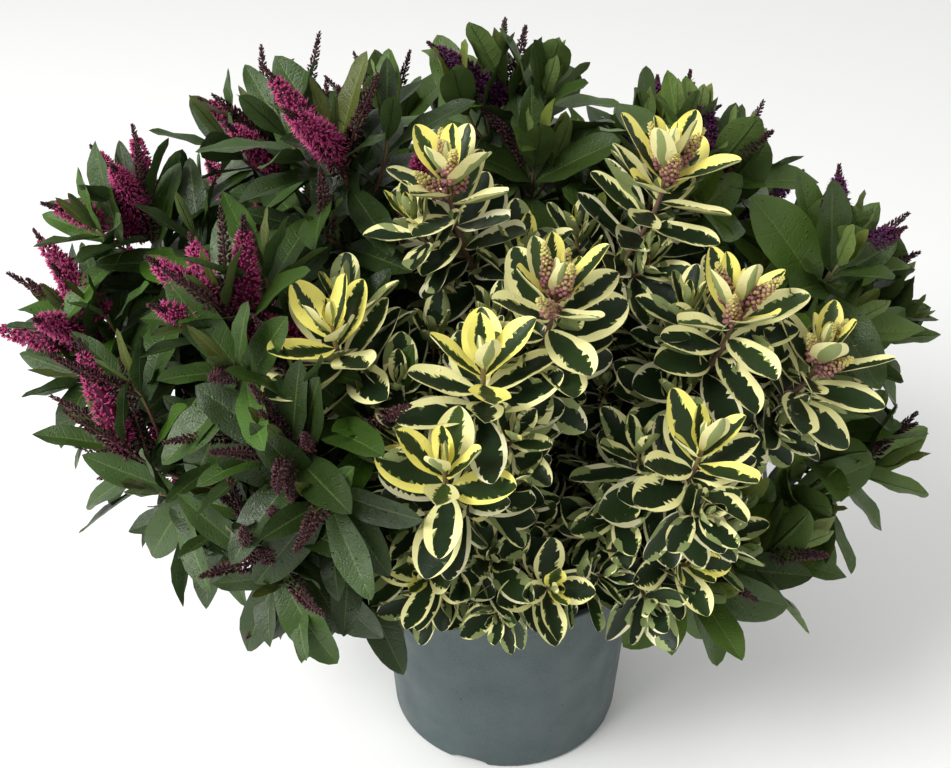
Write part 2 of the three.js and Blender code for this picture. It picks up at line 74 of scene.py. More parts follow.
# Each bough with the tips of its two leading shoots: azimuth, reach from the pot's axis, height.
BOUGHS = dict(
    narrow=dict(
        skirt=dict(front=(-136, 168, 216), side=(-170, 224, 244)),
        back_left=dict(low=(134, 222, 254), outer=(144, 240, 336)),
        low_left=dict(low=(-128, 236, 282), outer=(-151, 256, 314)),
        front_left=dict(lower=(-123, 218, 350), upper=(-140, 202, 404)),
        left=dict(outer=(-171, 264, 340), inner=(-178, 228, 402)),
        top=dict(outer=(166, 156, 432), inner=(-152, 112, 464)),
    ),
    broad=dict(
        low_right=dict(front=(-41, 168, 212), side=(-12, 214, 258)),
        back=dict(low=(80, 210, 258), outer=(90, 222, 344)),
        back_right=dict(low=(32, 216, 256), outer=(42, 232, 332)),
        right=dict(outer=(0, 234, 336), inner=(-14, 194, 392)),
        upper_back=dict(left=(118, 186, 388), right=(52, 172, 386)),
        top=dict(right=(-4, 122, 434), middle=(96, 44, 466)),
    ),
    variegated=dict(
        skirt=dict(left=(-107, 176, 252), middle=(-83, 174, 246)),
        low_right=dict(low=(-58, 188, 252), upper=(-62, 202, 348)),
        front=dict(lower=(-101, 200, 348), upper=(-96, 176, 396)),
        right=dict(outer=(-35, 204, 368), inner=(-48, 172, 406)),
        upper=dict(left=(-122, 180, 404), middle=(-83, 150, 424)),
        top=dict(left=(-112, 98, 462), right=(-42, 110, 462)),
    ),
)

# ---- The growth of each form, down to its real leaves ----

# A shoot turns up by upturn, first near the pot and then in full light. Its first pair of leaves
# faces anywhere within a share, turn, of a full turn. A share, thin, of the low shoots is left out.
# A pair of leaves sits near * rank + far * rank squared below the tip, times stretch on a low shoot.
# Low leaves are painted a factor times as bright, painted shade on the narrow form and painted light
# on the broad one. The leaves of a leading shoot near the pot are vigour times as large. The tilt
# from the shoot, the arch, the size and the droop of a leaf all grow with its distance from the tip.
# arch bends it along its length, fold lifts its two halves, slim narrows it while it is young, and it
# droops hang times as much near the pot. base and tip are the powers that shape its outline.
FORMS = dict(
    narrow=dict(
        upturn=(0.5, 0.5), turn=1.0, thin=0.65, stretch=1.6, low_painted_light=0.62, near=5.0, far=0.85,
        leader=dict(ranks=11, vigour=1.0),
        side=dict(count=6, length=56, splay=56, ranks=6, vigour=(0.85, 1.0), spread=(0.25, 0.85)),
        inner=dict(count=4, length=58, splay=58, ranks=5, vigour=(0.85, 1.0), spread=(0.35, 0.95)),
        leaf=dict(length=70, width=24, tilt=(12, 82), tilt_over=22, size=0.5, size_over=8, slim=0.6,
                  arch=(-6, 38), fold=12, droop=0.36, hang=3.4, up=0.35, base=0.9, tip=0.74),
        spikes=dict(leader=6, side=0.8, length=62, tilt=30, bloom=0.42),
    ),
    broad=dict(
        upturn=(0.6, 0.6), turn=1.0, thin=0.4, stretch=1.3, low_painted_light=1.5, near=6.5, far=1.2,
        leader=dict(ranks=8, vigour=1.0),
        side=dict(count=6, length=54, splay=56, ranks=4, vigour=(0.8, 0.95), spread=(0.25, 0.85)),
        inner=dict(count=4, length=58, splay=58, ranks=4, vigour=(0.8, 0.95), spread=(0.35, 0.95)),
        twiglet=dict(count=1, length=28, splay=50, ranks=2, vigour=(0.6, 0.8), spread=(0.3, 0.5)),
        leaf=dict(length=70, width=33, tilt=(10, 78), tilt_over=26, size=0.6, size_over=9, slim=0.8,
                  arch=(-10, 26), fold=14, droop=0.26, hang=1.8, up=0.3, base=0.8, tip=0.72),
        spikes=dict(leader=4, side=0.3, length=56, tilt=34, bloom=0.55),
    ),
    variegated=dict(
        upturn=(0.4, 0.9), turn=0.1, thin=0.0, stretch=1.0, low_painted_light=1.0, near=3.8, far=0.32,
        leader=dict(ranks=14, vigour=0.82),
        side=dict(count=6, length=50, splay=62, ranks=7, vigour=(0.72, 0.95), spread=(0.1, 0.74)),
        inner=dict(count=4, length=58, splay=58, ranks=6, vigour=(0.75, 0.95), spread=(0.3, 0.95)),
        leaf=dict(length=44, width=23, tilt=(14, 82), tilt_over=13, size=0.42, size_over=7, slim=0.85,
                  arch=(-34, -14), fold=20, droop=0.04, hang=2, up=0.1, base=0.75, tip=0.58),
        spikes=dict(leader=4, side=0.0, length=31, tilt=28, bloom=0.0),
    ),
)
SHOOT_CHANCES = dict(splay=8, size=0.15)
# How far each of these may stray in one leaf: angles in degrees, sizes as shares.
LEAF_CHANCES = dict(tilt=7, turn=9, roll=10, arch=8, fold=6, twist=14, length=0.1, width=0.14)
# A leaf that finds no room is tried nearer to its shoot and shorter: how much of each.
LEAF_TRIES = dict(
    narrow=((0, 1), (0.25, 1), (0.45, 1), (0, 0.88)),
    broad=((0, 1), (0.25, 1), (0, 0.85), (0.4, 0.85), (0.15, 0.7)),
    variegated=((0, 1), (0.25, 1), (0, 0.85), (0.4, 0.85), (0.15, 0.7)),
)
LEAVES_APART = 3.4  # the middles of the leaves of two shoots keep this far from each other
CHECKED_AT = (0.3, 0.55, 0.8, 1)  # the shares of a leaf where its room is checked
LEAVES_TO = 0.96  # the share of a shoot, from its tip, that may carry leaves
ROSETTE_ROOM = 28  # the leaves of other forms stay this far from the tips of variegated ones
HANG_BELOW, HANG_OVER = 320, 110  # leaves hang more from this height down
LIT_FROM, LIT_OVER = 240, 130  # shoots turn up more from this height up, where the painted shade of low narrow leaves and the painted light of low broad leaves fade out, and variegated leaves get more cream
THIN_BELOW = 272  # fewer shoots below this height
SHOOTS_WITHIN, LEAVES_WITHIN, SPIKES_WITHIN = 0.93, 1.03, 1.06  # shares of the crown's outline
POT_GAPS = dict(shoots=10, leaves=4, spikes=6)
INNER_KEY, TWIGLET_KEY = 9000, 20000


def mix(a, b, share):
    return a + (b - a) * share


def limited(share):
    return min(1, max(0, share))


def place(tip):
    azimuth, reach, height = tip
    turn = math.radians(azimuth)
    return Vector((reach * math.cos(turn), reach * math.sin(turn), height))


def towards(azimuth, elevation):
    rise = math.radians(elevation)
    return place((azimuth, math.cos(rise), math.sin(rise)))


DENT_DEPTHS = [(towards(azimuth, elevation), depth) for azimuth, elevation, depth in DENTS.values()]


def chance(*keys):
    """A number from 0 to 1 that depends only on the seed and on the whole numbers given."""
    mask = 0xFFFFFFFF
    value = SEED
    for key in keys:
        value = ((value ^ ((key + 0x9E3779B9) & mask)) * 0x85EBCA6B) & mask
        value ^= value >> 13
        value = (value * 0xC2B2AE35) & mask
        value ^= value >> 16
    return value / 4294967296


def jitter(size, *keys):
    return size * (2 * chance(*keys) - 1)


def across(along):
    """A unit vector square to the one given."""
    helper = UP if abs(along.z) < 0.9 else Vector((1, 0, 0))
    return helper.cross(along).normalized()


def turned(vector, axis, angle):
    return Matrix.Rotation(angle, 3, axis) @ vector


def square_to(vector, axis):
    """The part of a vector that is square to a unit axis, made a unit vector."""
    return (vector - axis * vector.dot(axis)).normalized()


class Path:
    """A smooth curve through Bezier control points, read by the share of its length."""

    def __init__(self, *controls, steps=24):
        shares = np.linspace(0, 1, steps + 1)[:, None]
        layers = [np.array(c, float)[None, :] for c in controls]
        while len(layers) > 1:
            layers = [a + (b - a) * shares for a, b in zip(layers, layers[1:])]
        self.points = layers[0]
        lengths = np.linalg.norm(np.diff(self.points, axis=0), axis=1)
        self.at = np.concatenate([[0], np.cumsum(lengths)])
        self.length = float(self.at[-1])

    def point(self, share):
        distance = limited(share) * self.length
        return Vector([float(np.interp(distance, self.at, self.points[:, i])) for i in range(3)])

    def points_at(self, shares):
        return [self.point(share) for share in shares]

    def along(self, share):
        step = 0.02
        return (self.point(share + step) - self.point(share - step)).normalized()


# ---- Limbs and shoots: the source's rule ----


def lit_at(height):
    """0 for a low shoot to 1 for one in full light."""
    return limited((height - LIT_FROM) / LIT_OVER)


def make_stem(form):
    outward = place((AZIMUTHS[form], 1, 0))
    foot = outward * STEM["stand"]
    foot.z = SOIL_LEVEL + GAP
    top = foot - outward * STEM["lean"] + UP * STEM["rise"]
    control = Vector((foot.x, foot.y, mix(foot.z, top.z, 0.5)))
    return Path(foot, control, top)


def make_bough(stem, share, tips):
    start = stem.point(share)
    end = HEART.lerp((tips[0] + tips[1]) / 2, FORK_SHARE)
    control = (start + end) / 2
    control.z = mix(start.z, end.z, BOUGH["sag"])
    return Path(start, control, end)


def make_leader(form, bough, tip, other_tip):
    """The leading shoot of a mass. Its last part turns up towards the light, and its tip stays."""
    onward = bough.along(1)
    aside = square_to(tip - other_tip, onward)
    start = bough.point(1) + aside * (LEADER["start"] + GAP)
    reach = (tip - start).length
    straight = (tip - start - onward * LEADER["onward"] * reach).normalized()
    upturn = mix(*FORMS[form]["upturn"], lit_at(tip.z))
    upward = straight.lerp(UP, upturn).normalized()
    turn_up = tip - upward * LEADER["upward"] * reach
    return Path(start, start + onward * LEADER["onward"] * reach, turn_up, tip)


def in_outline(point, share=1.0):
    """Whether a point is inside the crown, an egg shape with shallow dents, or a share of it."""
    away = point - OUTLINE["middle"]
    height = OUTLINE["rise"] if away.z > 0 else OUTLINE["drop"]
    reach = Vector((away.x / OUTLINE["half_width"], away.y / OUTLINE["half_depth"], away.z / height))
    for direction, depth in DENT_DEPTHS:
        share -= depth * math.exp(-((reach.angle(direction) / DENT_SPREAD) ** 2))
    return reach.length < share and point.z > LOWEST_LEAF


def clear_of_pot(point, gap):
    return point.z > POT["height"] + gap or Vector(point.xy).length > POT["rim"] + gap


class Shoot:
    """A twig that carries leaves: its path, its form, its key and how vigorous it is."""

    def __init__(self, path, form, key, turn, vigour, ranks, radii, kind):
        self.path, self.form, self.key, self.turn = path, form, key, turn
        self.vigour, self.ranks, self.radii, self.kind = vigour, ranks, radii, kind
        self.tip = path.point(1)
        self.side = across(path.along(0.5))
        self.stretch = mix(FORMS[form]["stretch"], 1, lit_at(self.tip.z))

    def below(self, rank):
        """How far under the tip a pair of leaves sits."""
        rule = FORMS[self.form]
        return self.stretch * (rule["near"] * rank + rule["far"] * rank * rank)

    def bearing(self, below, quarter):
        """The foot of what grows at a distance below the tip, the shoot's direction there, and a
        direction square to it that turns a quarter from pair to pair."""
        share = 1 - below / self.path.length
        along = self.path.along(share)
        outward = turned(square_to(self.side, along), along, self.turn + quarter * math.pi / 2)
        return self.path.point(share), along, outward


def grow_shoot(form, kind, parent, index, key, turn, keys=None, radii=(SIDE["start"], SIDE["end"])):
    """A shoot leaves its parent at a share of its length and bends up and out to its tip. It comes
    back as a list, which is empty where the shoot finds no room."""
    rule = FORMS[form][kind]
    keys = keys or (key, 1)
    share = mix(*rule["spread"], (index + 0.5) / rule["count"])
    start, along = parent.point(share), parent.along(share)
    outward = turned(across(along), along, math.radians(SIDE["spiral"]) * index + turn)
    angle = math.radians(rule["splay"] + jitter(SHOOT_CHANCES["splay"], *keys, 1))
    direction = along * math.cos(angle) + outward * math.sin(angle)
    away = (start - HEART).normalized()
    vigour = mix(*rule["vigour"], chance(*keys, 8))
    upturn = SIDE["upturn"] * mix(*FORMS[form]["upturn"], lit_at(start.z))
    for size in SIDE["lengths"]:
        reach = rule["length"] * size * (1 + jitter(SHOOT_CHANCES["size"], *keys, 2))
        control = start + direction * reach / 2
        onward = direction.lerp(away, SIDE["uplift"]).normalized()
        tip = control + onward.lerp(UP, upturn).normalized() * reach / 2
        if in_outline(tip, SHOOTS_WITHIN) and clear_of_pot(tip, POT_GAPS["shoots"]):
            path = Path(start, control, tip, steps=12)
            return [Shoot(path, form, key, turn, vigour, rule["ranks"], radii, kind)]
    return []


def stays(shoot):
    """Whether a shoot isn't one of the low ones that are left out."""
    return shoot.tip.z >= THIN_BELOW or chance(shoot.key, 31) >= FORMS[shoot.form]["thin"]


def shoots_of(number, rank, leading, bough):
    """The leading shoot with its side shoots, inner shoots from the bough, and their twiglets."""
    form = leading.form
    grown = []
    for i in range(FORMS[form]["side"]["count"]):
        turn, keys = 2 * math.pi * chance(number, 7), (number, SIDE_KEY + i)
        grown += grow_shoot(form, "side", leading.path, i, SHOOT_KEYS * number + 1 + i, turn, keys)
    for i in range(rank, FORMS[form]["inner"]["count"], 2):
        turn = 2 * math.pi * chance(number, 9)
        grown += grow_shoot(form, "inner", bough, i, INNER_KEY + SHOOT_KEYS * number + i, turn)
    grown = [shoot for shoot in grown if stays(shoot)]
    twiglets = []
    if "twiglet" in FORMS[form]:
        for parent in grown:
            key = TWIGLET_KEY + 2 * parent.key
            turn, radii = 2 * math.pi * chance(key, 9), (SIDE["end"], 0.7 * SIDE["end"])
            twiglets += grow_shoot(form, "twiglet", parent.path, 0, key, turn, radii=radii)
    return [leading, *grown, *twiglets]


def make_masses():
    """The paths of the stems and boughs, and the masses of each form: a place and its shoots."""
    stems, boughs, masses = {}, {}, {form: [] for form in FORMS}
    number = 0
    for form, limbs in BOUGHS.items():
        rule = FORMS[form]
        stems[f"stem_{form}"] = stem = make_stem(form)
        for rank, (bough_name, tips) in enumerate(limbs.items()):
            points = [place(tip) for tip in tips.values()]
            share = mix(BOUGH["lowest"], BOUGH["highest"], rank / (len(limbs) - 1))
            boughs[f"bough_{form}_{bough_name}"] = bough = make_bough(stem, share, points)
            for i, tip_name in enumerate(tips):
                path = make_leader(form, bough, points[i], points[1 - i])
                turn = rule["turn"] * 2 * math.pi * (chance(number, 3) - 0.5)
                vigour = mix(rule["leader"]["vigour"], 1, lit_at(points[i].z))
                radii, ranks = (LEADER["start"], LEADER["end"]), rule["leader"]["ranks"]
                leading = Shoot(path, form, SHOOT_KEYS * number, turn, vigour, ranks, radii, "leader")
                shoots = shoots_of(number, i, leading, bough)
                masses[form].append(dict(place=f"{bough_name}_{tip_name}", shoots=shoots))
                number += 1
    return stems, boughs, masses


def foliage_nodes(form):
    return [f"foliage_{form}_{bough}_{tip}" for bough, tips in BOUGHS[form].items() for tip in tips]


# ---- Leaves ----


class Crowd:
    """The places taken by leaves, so that a leaf of another shoot isn't grown through them."""

    def __init__(self, apart):
        self.apart, self.cells = apart, {}

    def cell(self, point, shift=(0, 0, 0)):
        return tuple(math.floor(c / self.apart) + s for c, s in zip(point, shift))

    def free(self, points, key):
        for point, shift in product(points, product((-1, 0, 1), repeat=3)):
            for other, owner in self.cells.get(self.cell(point, shift), ()):
                if owner != key and (other - point).length < self.apart:
                    return False
        return True

    def take(self, points, key):
        for point in points:
            self.cells.setdefault(self.cell(point), []).append((point, key))


def leaf_points(leaf, shares):
    """Points on the middle line of a leaf, which bends in an even arc."""
    arch = leaf["arch"] if abs(leaf["arch"]) > FLAT else FLAT
    points = []
    for share in shares:
        ahead = math.sin(arch * share) / arch
        down = (1 - math.cos(arch * share)) / arch
        points.append(leaf["foot"] + (leaf["direction"] * ahead - leaf["face"] * down) * leaf["length"])
    return points


def leaf_on(shoot, rank, side, lean, shrink):
    """One of the pair of leaves at a rank. lean brings it nearer to its shoot."""
    leaf = FORMS[shoot.form]["leaf"]
    keys = (shoot.key, rank, side)

    def strayed(name, key):
        return jitter(LEAF_CHANCES[name], *keys, key)

    below = shoot.below(rank)
    foot, along, outward = shoot.bearing(below, rank)
    out = outward * (-1 if side else 1)
    grown = 1 - math.exp(-(below + 1) / leaf["tilt_over"])
    tilt = math.radians(mix(*leaf["tilt"], grown) * (1 - lean) + strayed("tilt", 1))
    out = turned(out, along, math.radians(strayed("turn", 3)))
    direction = along * math.cos(tilt) + out * math.sin(tilt)
    low = limited((HANG_BELOW - foot.z) / HANG_OVER)
    direction.z -= leaf["droop"] * mix(1, leaf["hang"], low) * grown * (1 - abs(direction.z))
    direction.normalize()
    lift = leaf["up"] * grown * (1 - abs(direction.z))
    face = square_to(square_to(along, direction).lerp(UP, lift), direction)
    growth = 1 - math.exp(-below / leaf["size_over"])
    size = mix(leaf["size"], 1, growth) * (1 + strayed("length", 2)) * shoot.vigour * shrink
    radius = mix(shoot.radii[1], shoot.radii[0], min(1, below / shoot.path.length))
    return dict(
        foot=foot + out * radius * 0.6,  # just inside the twig
        direction=direction,
        face=turned(face, direction, math.radians(strayed("roll", 4))),
        length=leaf["length"] * size,
        width=leaf["width"] * size * mix(leaf["slim"], 1, growth) * (1 + strayed("width", 5)),
        arch=math.radians(mix(*leaf["arch"], grown) + strayed("arch", 6)),
        fold=math.radians(leaf["fold"] + strayed("fold", 7)),
        twist=math.radians(strayed("twist", 8)),
        phase=chance(*keys, 13),
        below=below,
        shoot=shoot,
        keys=keys,
    )


def grow_leaves(masses):
    """The leaves of every form, first those of the leading shoots."""
    crowd = Crowd(LEAVES_APART)
    rosettes = [mass["shoots"][0].tip for mass in masses["variegated"]]

    def finds_room(leaf, points):
        form, key = leaf["shoot"].form, leaf["shoot"].key
        gap = POT_GAPS["leaves"]
        if not all(in_outline(p, LEAVES_WITHIN) and clear_of_pot(p, gap) for p in points[1:]):
            return False
        if form != "variegated" and any((p - r).length <= ROSETTE_ROOM for p in points for r in rosettes):
            return False
        return crowd.free(points, key)

    leaves = {form: [] for form in FORMS}
    shoots = [shoot for form in FORMS for mass in masses[form] for shoot in mass["shoots"]]
    order = ("leader", "side", "inner", "twiglet")
    for shoot in sorted(shoots, key=lambda s: order.index(s.kind)):
        ranks = [r for r in range(shoot.ranks) if shoot.below(r) <= LEAVES_TO * shoot.path.length]
        for rank, side in product(ranks, (0, 1)):
            for lean, shrink in LEAF_TRIES[shoot.form]:
                leaf = leaf_on(shoot, rank, side, lean, shrink)
                points = leaf_points(leaf, CHECKED_AT)
                if finds_room(leaf, points):
                    crowd.take(points, shoot.key)
                    leaves[shoot.form].append(leaf)
                    break
    return leaves


# ---- Meshes ----

FLAT = 1e-4  # an arc of fewer radians is taken as this
LEAF_MAP = "OFBake"  # the map that the patterns of a leaf are drawn on, the same for every leaf
MAP_TILES = 4  # leaves take turns on this many tiles, with the tops below and the undersides above


class Joined:
    """Many small closed meshes that become one piece. Paints number its materials."""

    def __init__(self):
        self.points, self.faces, self.paints, self.rims, self.maps = [], [], [], [], []
        self.count = 0

    def add(self, points, faces, paints=0, rims=False):
        """points is (n, 3) in millimetres, faces (m, 3), paints (m,) and rims (n,), or one value."""
        self.points.append(points)
        self.faces.append(np.add(faces, self.count))
        self.paints.append(np.broadcast_to(paints, len(faces)))
        self.rims.append(np.broadcast_to(rims, len(points)))
        self.count += len(points)

    def add_copies(self, points, faces, paints, rims=False, maps=None):
        """points is (copies, n, 3), and every copy has the same faces. paints is (m,) or (copies, m).
        maps is (copies, m, 3, 2): where on the leaf map each corner of each face lies."""
        copies, each, _ = points.shape
        all_faces = (faces + (np.arange(copies) * each)[:, None, None]).reshape(-1, 3)
        all_paints = np.broadcast_to(paints, (copies, len(faces))).reshape(-1)
        all_rims = np.broadcast_to(rims, (copies, each)).reshape(-1)
        self.add(points.reshape(-1, 3), all_faces, all_paints, all_rims)
        if maps is not None:
            self.maps.append(maps.reshape(-1, 2))

    def piece(self, name, materials, slot, nodes):
        points = np.concatenate(self.points) * MM
        faces = np.concatenate(self.faces).astype(np.int32)
        mesh = bpy.data.meshes.new(name)
        mesh.vertices.add(len(points))
        mesh.vertices.foreach_set("co", points.astype(np.float32).ravel())
        mesh.loops.add(faces.size)
        mesh.loops.foreach_set("vertex_index", faces.ravel())
        mesh.polygons.add(len(faces))
        mesh.polygons.foreach_set("loop_start", np.arange(0, faces.size, 3, dtype=np.int32))
        mesh.polygons.foreach_set("material_index", np.concatenate(self.paints).astype(np.int32))
        mesh.polygons.foreach_set("use_smooth", np.full(len(faces), True))
        for material in materials:
            mesh.materials.append(material)
        mesh.update(calc_edges=True)
        if self.maps:
            layer = mesh.uv_layers.new(name=LEAF_MAP)
            layer.uv.foreach_set("vector", np.concatenate(self.maps).astype(np.float32).ravel())
        rims = np.concatenate(self.rims)
        if rims.any():
            ends = np.empty(2 * len(mesh.edges), np.int32)
            mesh.edges.foreach_get("vertices", ends)
            sharp = rims[ends].reshape(-1, 2).all(axis=1)
            mesh.attributes.new("sharp_edge", "BOOLEAN", "EDGE").data.foreach_set("value", sharp)
        piece = linked(name, mesh)
        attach(piece, "root")
        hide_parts(*nodes)
        return piece


def linked(name, data):
    thing = bpy.data.objects.new(name, data)
    bpy.context.scene.collection.objects.link(thing)
    return thing


def strip_faces(columns, rows, index):
    """Triangles of a sheet of quads, each with its row, its column and the line between columns that
    it has an edge on: index(row, column) numbers the corners."""
    faces = []
    for r, c in product(range(rows), range(columns)):
        a, b, d, e = index(r, c), index(r, c + 1), index(r + 1, c), index(r + 1, c + 1)
        pair = (((a, b, e), c + 1), ((a, e, d), c))
        faces += [(face, r, c, line) for face, line in pair if len({*face}) == 3]
    return faces


class LeafShape:
    """The net of a closed leaf: rows of corners over its top and its underside, which meet along
    the rim, at the foot and at the tip."""

    def __init__(self, rows, top_columns, under_columns):
        inner = top_columns + under_columns

        def top_index(r, c):
            return 0 if r == 0 else 1 if r == rows else 2 + (r - 1) * inner + c

        def under_index(r, c):
            if r in (0, rows) or c in (0, under_columns):
                return top_index(r, 0 if c == 0 else top_columns)
            return 2 + (r - 1) * inner + top_columns + c

        top = strip_faces(top_columns, rows, top_index)
        under = strip_faces(under_columns, rows, under_index)
        self.faces = np.array([face[0] for face in top] + [face[0][::-1] for face in under])
        self.face_rows, self.columns, self.lines = np.array([face[1:] for face in top + under]).T
        self.is_top = np.arange(len(self.faces)) < len(top)
        self.rims = np.zeros(2 + (rows - 1) * inner, bool)
        self.rims[[top_index(r, c) for r in range(rows + 1) for c in (0, top_columns)]] = True
        # Rows crowd towards the tip and the foot, where the outline turns most.
        even = np.linspace(0, 1, rows + 1)
        self.shares = mix(even, (1 - np.cos(np.pi * even)) / 2, 0.6)

    def corners_of(self, top, under):
        """One array for all corners from arrays over the two sheets, (leaves, rows + 1, columns + 1)."""
        inside = np.concatenate([top[:, 1:-1], under[:, 1:-1, 1:-1]], axis=2)
        ends = np.stack([top[:, 0, 0], top[:, -1, 0]], axis=1)
        return np.concatenate([ends, inside.reshape(len(top), -1, *top.shape[3:])], axis=1)

    def maps(self, places, shares):
        """Where on the leaf map the corners of every face lie. places is each corner's place across
        its leaf, from -1 to 1, and shares its place along it, both (leaves, corners)."""
        tiles = (np.arange(len(places)) % MAP_TILES)[:, None, None]
        x = (tiles + 0.5 + 0.48 * places[:, self.faces]) / MAP_TILES
        y = 0.01 + 0.48 * shares[:, self.faces] + np.where(self.is_top, 0, 0.5)[:, None]
        return np.stack([x, y], axis=3)


STALK = dict(end=0.12, half=0.13)  # a leaf's short stalk, in shares of its length and half width


def leaf_mesh(shape, leaves, top_at, under_at, rule, thickness, bulge, wave, groove=0.0, slant=0.0):
    """Corners of many leaves of one shape, (leaves, corners, 3), with the place across and the share
    along its leaf of each. top_at and under_at give each column's place across, from -1 at one rim
    to 1 at the other, (leaves, rows + 1, columns + 1). wave is the height and the number of the
    waves of the rim. Rows run forward from the midrib by slant, as side veins do."""

    def column(name):
        return np.array([leaf[name] for leaf in leaves], float)[:, None, None]

    def vectors(name):
        return np.array([tuple(leaf[name]) for leaf in leaves], float)[:, None, None, :]

    length, fold, twist = column("length"), column("fold"), column("twist")
    arch = np.where(np.abs(column("arch")) < FLAT, FLAT, column("arch"))
    foot, direction, face = vectors("foot"), vectors("direction"), vectors("face")
    base, tip = rule["base"], rule["tip"]
    widest = base / (base + tip)
    fullest = widest**base * (1 - widest) ** tip

    def sheet(at, inset):
        even = shape.shares[None, :, None]
        share = even + 4 * slant * np.abs(at) * even * (1 - even)
        bend = (arch * share)[..., None]
        ahead = direction * np.sin(bend) / arch[..., None]
        down = face * (1 - np.cos(bend)) / arch[..., None]
        middle = foot + length[..., None] * (ahead - down)
        normal = face * np.cos(bend) + direction * np.sin(bend)
        sideways = np.cross(direction * np.cos(bend) - face * np.sin(bend), normal)
        turn = (twist * share)[..., None]
        rolled = normal * np.cos(turn) - sideways * np.sin(turn)
        sideways = sideways * np.cos(turn) + normal * np.sin(turn)
        stalk = np.where(share < STALK["end"], STALK["half"] * share / STALK["end"], 0)
        outline = share**base * (1 - share) ** tip / fullest
        half = column("width") / 2 * np.maximum(outline, stalk)
        reach = np.abs(at) * half
        ripple = np.sin(2 * np.pi * (wave[1] * share + column("phase"))) * np.sign(at) * at**2
        up = reach * np.sin(fold) + bulge * reach * (1 - np.abs(at))
        up = up + wave[0] * ripple * np.minimum(1, half / 4) - inset * np.minimum(1, half / 3)
        out = np.sign(at) * reach * np.cos(fold)
        return middle + sideways * out[..., None] + rolled * up[..., None], share

    top, top_share = sheet(top_at, groove * (np.abs(top_at) < 0.12))
    under, under_share = sheet(under_at, thickness * (1 - np.abs(under_at)))
    return (
        shape.corners_of(top, under),
        shape.corners_of(top_at, under_at),
        shape.corners_of(top_share, under_share),
    )


def round_turns(sides):
    return np.arange(sides) * 2 * np.pi / sides


def level_ring(radius, height, sides):
    turns = round_turns(sides)
    return np.stack([radius * np.cos(turns), radius * np.sin(turns), np.full(sides, height)], axis=1)


def closed_stack(rings, start, end):
    """Corners and triangles of a closed body from rings of corners, (rings, sides, 3), and a point
    that closes it at either end. The rings turn left round the way from start to end."""
    rings = np.asarray(rings, float)
    count, sides, _ = rings.shape
    low, high, last = count * sides, count * sides + 1, (count - 1) * sides
    faces = []
    for s in range(sides):
        t = (s + 1) % sides
        faces += [(low, t, s), (high, last + s, last + t)]
        for r in range(0, last, sides):
            faces += [(r + s, r + t, r + t + sides), (r + s, r + t + sides, r + s + sides)]
    return np.concatenate([rings.reshape(-1, 3), [start], [end]]), np.array(faces)


def tube(points, radii, sides, relief=None):
    """A closed tube with blunt ends through points. relief(place, share, turn) adds to its radius."""
    points = np.asarray(points, float)
    tangents = np.gradient(points, axis=0)
    tangents /= np.linalg.norm(tangents, axis=1)[:, None]
    frame_x = np.array(across(Vector(tangents[0])))
    turns = round_turns(sides)
    rings = []
    for i, (point, tangent, radius) in enumerate(zip(points, tangents, radii)):
        frame_x = frame_x - tangent * frame_x.dot(tangent)
        frame_x /= np.linalg.norm(frame_x)
        out = frame_x * np.cos(turns)[:, None] + np.cross(tangent, frame_x) * np.sin(turns)[:, None]
        if relief:
            share = i / (len(points) - 1)
            radius = [[radius + relief(point + o * radius, share, turn)] for o, turn in zip(out, turns)]
        rings.append(point + out * radius)
    start, end = points[0] - tangents[0] * radii[0] * 0.3, points[-1] + tangents[-1] * radii[-1] * 0.5
    return closed_stack(rings, start, end)


# ---- Materials ----


def linear(red, green, blue):
    """A colour from its 8-bit screen values."""
    shares = (red / 255, green / 255, blue / 255)
    return (*(c / 12.92 if c <= 0.04045 else ((c + 0.055) / 1.055) ** 2.4 for c in shares), 1)


def new_material(name, colour, roughness, specular=0.5):
    material = bpy.data.materials.new(name)
    material.use_nodes = True
    shader = material.node_tree.nodes["Principled BSDF"]
    shader.inputs["Base Color"].default_value = linear(*colour)
    shader.inputs["Roughness"].default_value = roughness
    shader.inputs["Specular IOR Level"].default_value = specular
    return material, material.node_tree, shader


def feed(tree, socket, value):
    """Links a socket to the one given, or sets it to a plain value."""
    if isinstance(value, bpy.types.NodeSocket):
        tree.links.new(value, socket)
    else:
        socket.default_value = value


def add_node(tree, kind, **values):
    """A node with its inputs, by name, and its settings."""
    node = tree.nodes.new(kind)
    for name, value in values.items():
        if name in node.inputs:
            feed(tree, node.inputs[name], value)
        else:
            setattr(node, name, value)
    return node


def noise_at(tree, scale, detail=3.0, roughness=0.5):
    """A noise pattern fixed to the object, as its factor socket. scale is in lumps per metre."""
    spot = add_node(tree, "ShaderNodeTexCoord").outputs["Object"]
    values = dict(Vector=spot, Scale=scale, Detail=detail, Roughness=roughness)
    return add_node(tree, "ShaderNodeTexNoise", **values).outputs["Fac"]


def mapped(tree, source, low, high, start=0.3, end=0.7):
    limits = {"From Min": start, "From Max": end, "To Min": low, "To Max": high}
    return add_node(tree, "ShaderNodeMapRange", Value=source, **limits).outputs["Result"]


def bumped(tree, shader, height, distance, strength):
    bump = add_node(tree, "ShaderNodeBump", Height=height, Distance=distance, Strength=strength)
    tree.links.new(bump.outputs["Normal"], shader.inputs["Normal"])


def calculated(tree, operation, *values):
    node = add_node(tree, "ShaderNodeMath", operation=operation)
    for socket, value in zip(node.inputs, values):
        feed(tree, socket, value)
    return node.outputs[0]


def mixed(tree, share, first, second):
    node = add_node(tree, "ShaderNodeMix", data_type="RGBA")
    colours = [socket for socket in node.inputs if socket.type == "RGBA"]
    for socket, value in zip(colours, (first, second)):
        feed(tree, socket, value)
    tree.links.new(share, next(socket for socket in node.inputs if socket.type == "VALUE"))
    return next(socket for socket in node.outputs if socket.type == "RGBA")


